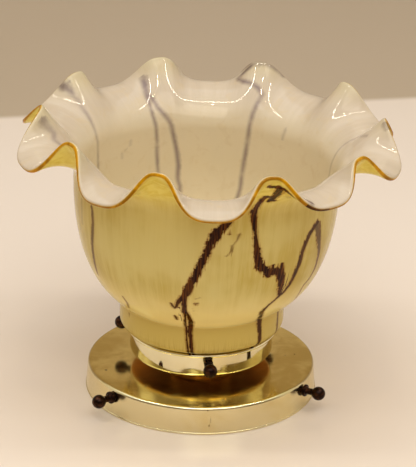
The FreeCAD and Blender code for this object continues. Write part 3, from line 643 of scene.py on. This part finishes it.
def shade_rows(angle):
    """Rows of points from the inner neck down to the lip, out and up to the rim, and back inside.

    Each row also has its run up the wall and its shares of white lining and of amber edge.
    """
    half = glass_wall / 2.0
    poles = ruffle_count * poles_per_ruffle
    pole_angle = np.arange(poles) * 360.0 / poles
    neck, lip_row = neck_outline()
    neck_rows = round_axis(neck[:, :1], neck[:, 1:], angle)

    base_length = math.hypot(bowl_base_out, bowl_base_up)
    base_in = glass_wall * bowl_base_up / base_length
    base_lift = glass_wall * bowl_base_out / base_length
    base_r = neck_r + bowl_base_out
    base_z = crease_z + bowl_base_up
    outer_bowl = (
        (neck_r, crease_z), (base_r, base_z), (bowl_r, bowl_top_z - bowl_side_drop), (bowl_r, bowl_top_z))
    inner_bowl = (
        (neck_r - glass_wall, crease_z), (base_r - base_in, base_z + base_lift),
        (bowl_r - glass_wall, bowl_top_z - bowl_side_drop), (bowl_r - glass_wall, bowl_top_z))
    bowl, bowl_in = (
        blown(np.stack([round_axis(r, z, pole_angle) for r, z in side]), bowl_steps)
        for side in (outer_bowl, inner_bowl))

    middle = flare_rings(pole_angle)
    around = np.roll(middle, -1, axis=1) - np.roll(middle, 1, axis=1)
    along = middle[[1, 2, 3, 3]] - middle[[0, 0, 1, 2]]
    normal = unit(np.cross(around, along))
    outer = middle + normal * half
    inner = middle - normal * half
    ahead = unit(np.cross(normal[3], around[3])) * (half * 4.0 / 3.0)
    flare = blown(outer, flare_steps)
    edge = blown(np.stack([outer[3], outer[3] + ahead, inner[3] + ahead, inner[3]]), rim_steps)
    flare_in = blown(inner, flare_steps)

    # How far each row lies up the wall, in millimetres from the shoulder
    arc = np.concatenate([[0.0], np.cumsum(np.linalg.norm(np.diff(bowl[:, 0], axis=0), axis=1))])
    bowl_run = neck_height + arc
    flare_run = bowl_run[-1] + flare_length * np.linspace(0.0, 1.0, flare_steps + 1)
    run = np.concatenate([
        neck[:, 1] - shoulder_z, bowl_run[:-1], flare_run[:-1], np.full(rim_steps, flare_run[-1]),
        flare_run[::-1][:-1], bowl_run[::-1][:-1]])
    rows = np.concatenate([
        neck_rows, bowl[:-1], flare[:-1], edge[:-1], flare_in[::-1][:-1], bowl_in[::-1][:-1]])

    wall = np.zeros(bowl_steps + flare_steps)
    edge_share = np.linspace(0.0, 1.0, rim_steps + 1)[:-1]
    neck_inside = smooth_step((lip_row + 2.0 - np.arange(len(neck))) / 4.0)
    lined = smooth_step((edge_share - lining_start) / edge_blend)
    amber = smooth_step((edge_share - amber_start) / edge_blend) * (1.0 - lined)
    inside = np.concatenate([neck_inside, wall, lined, wall + 1.0])
    rim_mask = np.concatenate([np.zeros(len(neck)), wall, amber, wall])
    return rows, run, inside, rim_mask


# Veins as (angle, run up the wall, half width) in degrees and millimetres, after their layer and how
# strongly they show through the amber skin and through the white lining.
# Strands that come close to each other lie in different layers.
veins = (
    # Broad vein at the front, with its fork, spurs and flecks
    (0, 1, 0.95, ((10.4, 106, 1), (9.7, 103.7, 1.1), (8.5, 102.8, 1.6), (6.3, 100.3, 2), (4.2, 97.1, 2.5),
        (3.4, 93.8, 2.2), (1.8, 90.5, 1.8), (1, 87.1, 1.6), (0.4, 83.7, 1.7), (-0.8, 80.3, 1.7),
        (-1.9, 76.7, 1.9), (-2.7, 73.1, 1.9), (-3.8, 69.4, 1.7), (-5.1, 65.6, 1.7), (-6.7, 61.6, 1.9),
        (-7.6, 57.5, 1.8), (-9, 54.8, 1.6), (-11.6, 50, 0.9), (-13.3, 44.5, 0.5))),
    (1, 1, 0.95, ((7.4, 100.3, 1), (6.2, 102.5, 0.6))),
    (1, 1, 0.95, ((2.9, 95.7, 1), (1.3, 97.6, 0.5))),
    (1, 1, 0.95, ((1.5, 83.8, 0.8), (1.6, 81.4, 0.4))),
    (1, 0.9, 0.9, ((-15.3, 49.6, 0.4), (-14.4, 47.1, 0.6), (-13.5, 43.9, 0.7))),
    (1, 0.9, 0.9, ((-14.4, 38.3, 0.3), (-13.8, 35.8, 0.8), (-13.6, 32.2, 0.4))),
    (1, 1, 0.95, ((-8.3, 56.6, 1.3), (-8.7, 50.6, 1.1), (-8.9, 44.9, 1.2), (-8.8, 41.4, 1.2),
        (-8.6, 37.4, 0.7), (-9.9, 22.6, 0.6), (-9.9, 12.6, 0.5), (-8.9, 5.2, 0.6), (-8.6, 0, 0.6))),
    (2, 1, 0.95, ((-8.2, 42.5, 1.1), (-7, 38.9, 0.9), (-5.9, 31.3, 1.2), (-6.7, 23.6, 1.2),
        (-7.8, 16.2, 1.1), (-7.2, 12.1, 0.9), (-6.3, 5.4, 0.9), (-6.1, 0, 0.9))),
    (1, 0.9, 0.9, ((9.9, 99.6, 0.6), (9.7, 96.4, 0.65))),
    (2, 0.8, 0.8, ((-5.9, 54.6, 0.4), (-5.9, 53.4, 0.4))),
    (2, 0.8, 0.8, ((-4.3, 50.3, 0.35), (-3.1, 49.8, 0.65), (-1.9, 51.5, 0.35))),
    (2, 0.6, 0.45, ((14.4, 98.6, 0.5), (13.8, 96, 0.7), (12.9, 93.2, 0.4))),
    (2, 0.5, 0.4, ((11.6, 91.8, 0.4), (11, 89.4, 0.6))),
    (2, 0.6, 0.45, ((10.4, 86.8, 0.7), (11.5, 86.7, 0.6))),
    (2, 0.5, 0.4, ((9.2, 84.6, 0.6), (8.8, 82.4, 0.5))),
    (2, 0.4, 0.4, ((-1.4, 56.4, 0.35), (-1.4, 55.2, 0.35))),
    # Its neighbour: a loop under the flare, a sharp bend on the bowl and a long tail
    (0, 1, 0.95, ((23.5, 123.6, 1.1), (21.4, 123.6, 1.4), (20.7, 119.1, 1.3), (20.1, 114.4, 1.3),
        (19.3, 110.1, 1.7), (19.6, 106.1, 1.5), (20, 102.5, 1.3), (20.7, 97.3, 1), (20.9, 93.4, 1.1),
        (21.4, 89.3, 1.3), (22.1, 85.9, 1.6), (22.3, 82.5, 1.9), (23.2, 78.9, 2.1), (24.6, 75.1, 2.3),
        (27.4, 72, 2), (28.8, 69.5, 2.1), (30.5, 70.2, 2), (33, 70.6, 1.8), (35.5, 67.3, 2.1),
        (36.8, 62.4, 1.9), (37.9, 58.1, 1.8), (38.1, 54.8, 1.3), (38.6, 50.9, 0.6))),
    (1, 1, 0.95, ((23.6, 139.7, 1.4), (24.4, 131.7, 1.4), (24.9, 124.6, 1.7), (24.8, 119.9, 1.7),
        (23.9, 117.1, 0.8))),
    (2, 1, 0.95, ((26.3, 119.6, 1.1), (26.3, 118.2, 1.1))),
    (2, 1, 0.95, ((19.2, 139, 1), (20.5, 137, 1.1), (22.9, 138, 1.5), (24.5, 140.5, 1.1), (27, 141, 1.1),
        (29.5, 141.5, 1.3), (31, 142.5, 1.7))),
    (1, 0.9, 0, ((29.5, 143.4, 1.2), (31.5, 143.6, 1.3), (34, 143.8, 1), (36, 144, 0.5))),
    (1, 1, 0.95, ((30.2, 72.4, 1.2), (30.8, 74.4, 1), (31.3, 76, 0.4))),
    (1, 1, 0.95, ((35.1, 69.6, 1.8), (35.4, 72.4, 1.2), (35.2, 75.2, 0.6))),
    (1, 1, 0.95, ((22.9, 75.4, 0.9), (21.5, 74.1, 0.5))),
    (2, 0.8, 0.8, ((31.4, 66.4, 0.5), (31.4, 65.4, 0.5))),
    (2, 0.8, 0.8, ((28.6, 67.2, 0.6), (28.6, 66, 0.6))),
    # Thin vein at the right that forks high on the bowl
    (0, 0.95, 0.95, ((54.4, 96.1, 0.6), (54.3, 93.5, 1.5), (52.9, 92.1, 1.35), (50.8, 90.3, 1.2),
        (49, 86.9, 1.27), (47.7, 84.1, 1.42), (46.4, 79.1, 1.2), (45.8, 71.6, 1.42), (44.8, 65.5, 1.27),
        (43.2, 57.7, 1.05), (40.8, 52.1, 0.83), (37.5, 48.2, 0.68), (34.4, 43.7, 0.68), (32.5, 38.1, 1.05),
        (36, 27.6, 1.2), (43.6, 18.5, 1.35), (43.4, 14.5, 1.42), (44.2, 9.4, 1.2), (44.4, 4.6, 1.05),
        (44, 0, 0.9))),
    (1, 0.75, 0.75, ((54.3, 93.5, 2.1), (56.2, 86.7, 2.1), (58, 80.4, 1.8), (60.1, 73.2, 1.27),
        (61.3, 66.2, 1.05), (61.7, 60.1, 0.9), (59.8, 54, 0.6), (56.1, 50.2, 0.45), (58, 40, 0.45),
        (62, 28, 0.6), (66.5, 18.5, 0.9), (66, 14.4, 0.83), (65.5, 9, 0.9), (64.9, 5.1, 0.83),
        (64, 2, 0.6))),
    # Thin vein at the left, its faint lower end and a smear
    (0, 0.7, 0.7, ((-56.7, 99, 0.68), (-55.8, 93.4, 1.02), (-55.7, 86.8, 1.1), (-56.9, 79.4, 1.19),
        (-58.3, 71.9, 1.1), (-59.4, 64.2, 1.02), (-60.6, 56.2, 0.85), (-61.7, 49.3, 0.68))),
    (1, 0.6, 0.6, ((-44.2, 43, 0.45), (-43.5, 39.7, 0.6), (-43.2, 37, 0.6), (-46.4, 30, 0.45))),
    (1, 0.5, 0.5, ((-59.9, 17.5, 0.45), (-59.9, 14, 0.6))),
    (1, 0.18, 0.18, ((-66, 97, 1.2), (-67, 80, 1.2))),
    # Veins at the back, which the photograph shows through the lining
    (0, 0, 0.7, ((-84.7, 141.4, 2.2), (-84.1, 139, 2.2), (-83.2, 131, 1.4), (-80.8, 129, 1),
        (-79.5, 120, 0.6))),
    (2, 0, 0.4, ((-45, 138, 1.6), (-45, 135.4, 1.4))),
    (0, 0.9, 0.9, ((-121.7, 143.7, 1.6), (-122, 141.2, 1.6), (-122, 137.9, 1.3), (-121.5, 132.3, 0.9),
        (-120.4, 125.8, 0.8), (-119.7, 119.5, 0.8), (-119.2, 114.2, 0.7), (-118.8, 108.1, 0.7),
        (-119, 102.5, 0.7), (-119.1, 95, 0.7), (-119, 85, 0.6), (-120.5, 66, 0.6), (-122, 45, 0.5),
        (-121, 20, 0.5), (-122, 0, 0.5))),
    (1, 0.8, 0.8, ((-123.5, 142.6, 0.8), (-121.1, 142.3, 0.8))),
    (0, 1, 0.95, ((-156, 137.5, 1.5), (-155.1, 131.3, 1.5), (-154.2, 126, 1.5), (-153.7, 122.2, 1.2),
        (-153.7, 117.9, 0.8), (-153.8, 112.2, 0.7), (-154.9, 105.5, 0.7), (-155.6, 97.5, 0.7),
        (-155.7, 91.2, 1), (-155.9, 81.7, 0.7), (-156.1, 77.3, 0.7), (-157, 62, 0.6), (-155.5, 50, 0.5),
        (-156.5, 34, 0.4))),
    (1, 1, 0.95, ((-154.2, 125, 1.2), (-155.3, 121.9, 1.1), (-156.7, 116.4, 1.1), (-159.6, 111.6, 1.1),
        (-161.9, 107.6, 1.1), (-163.4, 101.7, 1.1), (-164.5, 95.3, 1.1), (-165.6, 88.8, 1.1),
        (-166.4, 80.6, 1.1), (-166, 71.3, 1), (-167.2, 66.3, 1), (-165.5, 48, 0.7), (-168, 34, 0.6),
        (-166, 0, 0.6))),
    (0, 1, 0.95, ((161.6, 143.5, 1), (164, 143.3, 1.2), (169.7, 138.1, 1), (169.3, 136, 1),
        (166.8, 132.8, 1), (163, 131.4, 1), (160.4, 129.5, 1.1), (158.2, 125.8, 1), (158.9, 120.8, 1),
        (159.8, 115.3, 1), (160.3, 107.9, 1), (160.8, 100.2, 1), (161.4, 92.4, 1), (162, 84.7, 1),
        (162.5, 76.4, 1), (162.7, 67, 0.9), (164.6, 56, 0.8), (162.5, 44, 0.7), (163, 20, 0.6),
        (161, 0, 0.6))),
    (1, 0.8, 0.8, ((169, 143.8, 0.8), (155, 143.8, 0.8))),
    (0, 0.65, 0.65, ((90.4, 133.1, 0.6), (95.5, 128.6, 0.65), (100.4, 123.1, 0.65), (101.6, 118, 0.65),
        (102, 113.4, 0.65), (102.3, 107.7, 0.65), (104.2, 101.1, 0.65), (106.4, 86, 0.6), (105, 70, 0.5),
        (107, 52, 0.4))),
    (1, 0.6, 0.6, ((88.4, 143.6, 1.2), (91, 143.6, 1.2))),
    (1, 0.5, 0.5, ((142.1, 110.4, 0.4), (142.4, 107.1, 0.4), (143, 103.6, 0.4))),
    (1, 0, 0.3, ((-136.2, 94.1, 0.6), (-136.4, 89, 0.6))),
    (1, 0, 0.3, ((-141.5, 101.6, 0.6), (-141, 96.6, 0.6))),
)


vein_reach = 4.0
end_taper = 2.0


def vein_fields(angle, run, radius):
    """Offset across the nearest vein and its half width in metres, and its two strengths, in three layers.

    On the unrolled wall a segment's offset is the distance to it, signed by the side. Past a vein's end
    the half width falls with the distance past it, and it falls far from every vein too.
    """
    fields = np.zeros((5, 3) + radius.shape)
    fields[0] = np.inf
    scale = math.pi / 180.0 * radius
    for layer, skin, lining, points in veins:
        for k, (start, finish) in enumerate(zip(points, points[1:])):
            across = degrees_past(angle, start[0]) * scale
            up = run - start[1] + 0.0 * radius
            step_across = (finish[0] - start[0]) * scale
            step_up = finish[1] - start[1]
            length = np.hypot(step_across, step_up)
            share = (across * step_across + up * step_up) / length ** 2
            held = np.clip(share, 0.0, 1.0)
            side = np.sign(step_across * up - step_up * across)
            distance = np.hypot(across - held * step_across, up - held * step_up)
            past = np.zeros_like(share)
            if k == 0:
                past = np.maximum(past, -share * length)
            if k == len(points) - 2:
                past = np.maximum(past, (share - 1.0) * length)
            half = start[2] + (finish[2] - start[2]) * held - end_taper * past
            nearer = distance < fields[0, layer]
            for field, value in zip(fields, (distance, side * distance, half, skin, lining)):
                field[layer] = np.where(nearer, value, field[layer])
    offset, half, on_skin, on_lining = fields[1:]
    half -= np.maximum(np.abs(offset) - vein_reach, 0.0)
    return offset * MM, half * MM, on_skin, on_lining


streak_r = 0.075
streak_squeeze = 0.06


def glass_shade():
    """The whole shade as one closed grid, with the fields that its finish reads."""
    angle = np.arange(glass_columns) * 360.0 / glass_columns
    rows, run, inside, rim_mask = shade_rows(angle)
    faces = grid_faces(len(rows), glass_columns)
    piece = make_piece("shade_glass", rows, faces, "opal_glass", "shade", ("glass_shade",), crease=70.0)
    radius = np.hypot(rows[..., 0], rows[..., 1])
    up = (run[:, None] + 0.0 * radius) * MM
    turn = np.radians(angle)
    fields = {
        "drawn": (streak_r * np.sin(turn), -streak_r * np.cos(turn), up * streak_squeeze),
        "masks": (inside[:, None], rim_mask[:, None], up),
    }
    for name, values in zip(vein_field_names, vein_fields(angle, run[:, None], radius)):
        fields["vein_" + name] = values
    for name, values in fields.items():
        layer = piece.data.attributes.new(name, "FLOAT_VECTOR", "POINT")
        packed = np.stack(np.broadcast_arrays(*values), axis=-1)
        layer.data.foreach_set("vector", packed.astype(np.float32).ravel())


glass_shade()

# Canopy, spacer and gallery, spun from brass sheet

canopy_rim_r = 68.0
canopy_top_r = 66.8
canopy_wall = 0.9
canopy_corner_r = 1.8
hem_out = 0.25
hem_height = 1.2
stem_hole_r = 5.2
spacer_r = 20.0
spacer_wall = 1.1
spacer_corner_r = 1.5
gallery_wall = 0.9
gallery_bore_r = 41.1
gallery_r = gallery_bore_r + gallery_wall
gallery_corner_r = 2.5
gallery_bead_r = 44.0
gallery_bead_height = 1.9
gallery_bead_round = 0.9
edge_r = 0.3
canopy_screws = {"left": -48.6, "right": 62.6, "back": 186.0}
gallery_screws = {"front": 6.4, "right": 127.0, "left": -107.5}
canopy_screw_z = 11.4
gallery_screw_z = 31.5

# Waves of the canopy's wall as (height, turns, phase), and the dimples and the leaning of the gallery's
canopy_waves = ((0.05, 3.0, 0.7), (0.035, 5.0, 2.1), (0.02, 11.0, 0.0))
dimple_depth = 0.28
dimple_spread = 4.2
gallery_leaning = 0.045


def spun_by_hand(radius, along, angle):
    """Work that makes the canopy wave by a few hundredths: sums of sines of the angle, with whole turns."""
    turn = np.radians(angle)
    wave = sum(height * np.sin(turns * turn + phase) for height, turns, phase in canopy_waves)
    near_rim = smooth_step((radius - 60.0) / 6.0)
    return radius + wave * near_rim, along + 0.6 * wave * near_rim * smooth_step(along / canopy_top)


def pressed_by_screws(radius, along, angle):
    """Work that dimples the gallery's wall round each tapped hole and lets the wall wave and lean a little.

    A dimple is a bell curve of the distance from the hole, and it fades out at the foot and the bead.
    The wall leans out at its foot on the left and in on the right, by a smooth step of the turn's sine.
    """
    wall = smooth_step((radius - gallery_bore_r + 1.0) / 0.8)
    held = smooth_step((along - gallery_foot - 1.5) / 3.0)
    held = held * smooth_step((gallery_top - gallery_bead_height - along) / 2.0)
    turn = np.radians(angle)
    wave = 0.04 * np.sin(4.0 * turn + 0.4) * np.sin(0.35 * along) + 0.03 * np.sin(9.0 * turn + 0.5 * along)
    leaning = 1.6 * smooth_step(0.5 - 1.6 * np.sin(turn + 0.2)) - 0.6
    middle = (gallery_foot + gallery_top) / 2.0
    sunk = -wave
    for bearing in gallery_screws.values():
        across = degrees_past(angle, bearing) * math.pi / 180.0 * gallery_r
        apart = across ** 2 + (along - gallery_screw_z) ** 2
        sunk = sunk + dimple_depth * np.exp(-apart / dimple_spread ** 2)
    return radius - (sunk * held + gallery_leaning * leaning * (along - middle)) * wall, along


canopy_inner_r = canopy_rim_r - canopy_wall
canopy_ceiling = canopy_top - canopy_wall
canopy_hem_r = canopy_rim_r + hem_out
turned("canopy_pan", (
    (stem_hole_r, canopy_ceiling, 0),
    (canopy_top_r - canopy_wall, canopy_ceiling, canopy_corner_r - canopy_wall),
    (canopy_inner_r, hem_height, 0), (canopy_inner_r, 0, 0.36),
    (canopy_hem_r, 0, 0.45), (canopy_hem_r, hem_height, 0.4), (canopy_rim_r, hem_height, 0.15),
    (canopy_top_r, canopy_top, canopy_corner_r), (stem_hole_r, canopy_top, 0),
), "canopy_brass", "canopy", columns=360, longest=2.5, work=spun_by_hand)

spacer_bore_r = spacer_r - spacer_wall
spacer_ceiling = spacer_top - spacer_wall
turned("spacer_cup", (
    (stem_hole_r, spacer_ceiling, 0), (spacer_bore_r, spacer_ceiling, spacer_corner_r - spacer_wall),
    (spacer_bore_r, spacer_foot, edge_r), (spacer_r, spacer_foot, edge_r),
    (spacer_r, spacer_top, spacer_corner_r), (stem_hole_r, spacer_top, 0),
), "polished_brass", "spacer")

gallery_floor = gallery_foot + gallery_wall
gallery_bead_z = gallery_top - gallery_bead_height
turned("gallery_cup", (
    (stem_hole_r, gallery_foot, 0), (gallery_r, gallery_foot, gallery_corner_r),
    (gallery_r, gallery_bead_z, edge_r), (gallery_bead_r, gallery_bead_z, gallery_bead_round),
    (gallery_bead_r, gallery_top, gallery_bead_round), (gallery_bore_r, gallery_top, 0.4),
    (gallery_bore_r, gallery_floor, gallery_corner_r - gallery_wall), (stem_hole_r, gallery_floor, 0),
), "polished_brass", "gallery", columns=360, longest=1.2, work=pressed_by_screws)

# Thumb screws: threaded shank, collar off the wall, waisted neck and ball

screw_r = 2.0
screw_tip_r = 1.6
screw_pitch = 0.7
screw_depth = 0.35
collar_thickness = 1.7
waist_r = 1.95
ball_r = 4.05


def thumb_screw(name, body, bearing, height, tip, collar, collar_r, reach):
    """Thumb screw turned about its own axis, with the thread rolled into its shank.

    The tip and the collar lie at distances from the fitting's axis, and the ball beyond the collar.
    """
    ball = collar + reach
    neck = collar + collar_thickness
    meet = ball - (ball_r - waist_r * math.sin(math.pi / 4)) / math.cos(math.pi / 4)
    turned(name + "_turned", (
        (0, tip, 0), (screw_tip_r, tip, 0.1), (screw_r, tip + 0.4, 0.1), (screw_r, collar, 0),
        (collar_r, collar, 0.5), (collar_r, neck, 0.6), (waist_r + 0.5, neck, 0.3),
        (waist_r, neck + 0.6, 0.5), (waist_r, meet, 0.5),
        (ball_r, ball - ball_r * math.tan(math.pi / 8), ball_r),
        (ball_r, ball + ball_r, ball_r), (0, ball + ball_r, 0),
    ), "dark_bronze", name, body, columns=48, longest=0.12, closed=False,
        work=thread(tip, collar, screw_pitch, screw_depth, 1.4, 2.05), place=screw_axis(bearing, height))


screw_sizes = {
    "canopy": dict(height=canopy_screw_z, tip=65.6, collar=68.03, collar_r=3.6, reach=9.2),
    "gallery": dict(height=gallery_screw_z, tip=40.6, collar=42.55, collar_r=2.7, reach=7.6),
}
for holder, bearings in (("canopy", canopy_screws), ("gallery", gallery_screws)):
    for side, bearing in bearings.items():
        thumb_screw(f"{holder}_screw_{side}", f"{holder}_thumb_{side}", bearing, **screw_sizes[holder])

# Lampholder sleeve, the rolled thread inside it and the threaded stem under it

holder_r = 19.9
holder_wall = 0.8
holder_mouth_r = 14.6
holder_corner_r = 2.0
lamp_thread_r = 13.25
lamp_thread_pitch = 3.63
lamp_shell_wall = 0.5
lamp_shell_foot_r = 11.45
stem_r = 4.9
stem_bore_r = 3.75
stem_pitch = 1.0

holder_bore_r = holder_r - holder_wall
holder_lip = holder_top - holder_wall
turned("holder_sleeve", (
    (holder_bore_r, holder_foot, 0), (holder_r, holder_foot, edge_r),
    (holder_r, holder_top, holder_corner_r), (holder_mouth_r, holder_top, edge_r),
    (holder_mouth_r, holder_lip, edge_r),
    (holder_bore_r, holder_lip, holder_corner_r - holder_wall),
), "turned_brass", "lampholder_shell")

lamp_outer_r = lamp_thread_r + lamp_shell_wall
lamp_floor = lamp_thread_foot + lamp_shell_wall
turned("lamp_thread", (
    (lamp_shell_foot_r, lamp_thread_foot, 0.1), (lamp_outer_r, lamp_thread_foot, edge_r),
    (lamp_outer_r, lamp_thread_top, 0.2), (lamp_thread_r, lamp_thread_top, 0.2),
    (lamp_thread_r, lamp_floor, 0), (lamp_shell_foot_r, lamp_floor, 0.1),
), "turned_brass", "lamp_screw_shell", longest=0.35,
    work=thread(lamp_thread_foot, lamp_thread_top, lamp_thread_pitch, 1.0, 13.0, 13.8))

turned("threaded_stem", (
    (stem_bore_r, stem_foot, 0.2), (stem_r, stem_foot, 0.2), (stem_r, stem_top, 0.2),
    (stem_bore_r, stem_top, 0.2),
), "zinc_steel", "stem", columns=96, longest=0.14,
    work=thread(stem_foot, stem_top, stem_pitch, 0.5, 4.5, 5.0))

# Camera at the photograph's viewing angle

view_elevation = 22.476
view_distance = 1.3
view_roll = 1.04
aim = np.array([0.00285, 0.0, 0.09593])
focal_pixels = 2239.6
frame_height_pixels = 467.0
sensor = 36.0


def place_camera():
    """Camera on its sphere round the aim point, rolled about its own axis."""
    tilt = math.radians(view_elevation)
    roll = math.radians(view_roll)
    across = np.array([1.0, 0.0, 0.0])
    upward = np.array([0.0, math.sin(tilt), math.cos(tilt)])
    towards = np.array([0.0, math.cos(tilt), -math.sin(tilt)])
    right = across * math.cos(roll) + upward * math.sin(roll)
    top = upward * math.cos(roll) - across * math.sin(roll)
    camera = bpy.data.cameras.new("view")
    camera.lens = focal_pixels * sensor / frame_height_pixels
    camera.sensor_width = sensor
    camera.clip_end = 20.0
    holder = shown("view", camera)
    orient(holder, right, top, -towards, aim - towards * view_distance)
    bpy.context.scene.camera = holder


place_camera()

# Table, backdrop and light, in metres

table_half = 4.0
table_front = -2.6
table_back = 1.7
cove_r = 0.5
wall_height = 3.0
table_edge_y = 0.495
table_edge_slope = 0.2
table_edge_blur = 0.007


def sweep_table():
    """Pale table that turns up into a darker wall: a straight line, a quarter circle and a line."""
    along = np.linspace(table_front, table_back, 60)
    bend = np.linspace(0.0, math.pi / 2, 16)[1:]
    up = np.linspace(cove_r, wall_height, 20)[1:]
    y = np.concatenate([along, table_back + cove_r * np.sin(bend), np.full(len(up), table_back + cove_r)])
    z = np.concatenate([np.zeros(len(along)), cove_r * (1 - np.cos(bend)), up])
    x = np.linspace(-table_half, table_half, 40)
    points = np.stack(np.broadcast_arrays(x[None, :], y[:, None], z[:, None]), axis=-1)
    finish = Finish("table_surface", Roughness=0.2)
    x_place, y_place, z_place = finish.parts(finish.place)
    edge = y_place - x_place * table_edge_slope
    beyond = finish.spread(edge, table_edge_y - table_edge_blur, table_edge_y + table_edge_blur)
    table = finish.mix(finish.noise(3.0, detail=2.0), rgb(233, 216, 196), rgb(230, 213, 193))
    table = finish.tint(table, y_place, 0.2, 0.9, rgb(224, 205, 181))
    wall = finish.tint(rgb(180, 160, 132), z_place, 0.2, 0.5, rgb(213, 190, 160))
    finish.drive("Base Color", finish.mix(beyond, table, wall))
    mesh = smooth_mesh("table_sweep", points, grid_faces(len(y), len(x), closed=False, wrapped=False))
    mesh.materials.append(finish.material)
    sweep = shown("table_sweep", mesh)


def area_light(name, place, target, width, height, radiance, tint=(1.0, 1.0, 1.0)):
    """Rectangular lamp facing a point, with its brightness given as seen from the front."""
    lamp = bpy.data.lights.new(name, "AREA")
    lamp.shape = "RECTANGLE"
    lamp.size = width
    lamp.size_y = height
    lamp.energy = radiance * math.pi * width * height
    lamp.color = tint
    ahead = unit(np.array(target, float) - np.array(place, float))
    side = unit(np.cross(ahead, (0.0, 0.0, 1.0)))
    orient(shown(name, lamp), side, np.cross(side, ahead), -ahead, place)


def light_room():
    """Room round the table: white above, pale behind the light and brown behind the camera.

    A soft panel stands in front of a tube, and a small warm lamp is between the two.
    """
    world = bpy.data.worlds.new("room")
    world.use_nodes = True
    bpy.context.scene.world = world
    room = Nodes(world.node_tree, "Generated")
    x, y, z = room.parts(room.place)
    walls = room.tint((0.24, 0.18, 0.11, 1.0), y, -0.3, 0.1, (0.72, 0.64, 0.52, 1.0))
    dim = room.spread(y, -0.35, -0.7) * room.spread(x, -0.65, -0.3)
    walls = room.mix(dim, walls, (0.16, 0.10, 0.045, 1.0))
    above = room.tint((1.20, 1.26, 1.35, 1.0), x, -0.5, 0.3, (1.0, 1.06, 1.15, 1.0))
    sky = room.tint(walls, z, 0.55, 0.85, above)
    room.put(world.node_tree.nodes["Background"].inputs["Color"], sky)
    area_light("soft_panel", (0.3, -1.4, 1.75), (0, 0, 0.1), width=2.0, height=1.6, radiance=1.85)
    area_light("tube", (0.0, -0.2, 2.0), (0, 0, 0), width=3.0, height=0.045, radiance=36.0)
    area_light("small_lamp", (0.0, -0.5, 2.0), (0, 0, 0.1), width=0.06, height=0.06, radiance=120.0,
        tint=(1.0, 0.86, 0.62))


sweep_table()
light_room()

scene = bpy.context.scene
scene.view_settings.view_transform = "Standard"

for name, obj in frame["nodes"].items():
    obj.data.materials.clear()
    obj.data.materials.append(materials[slot_of[name]])
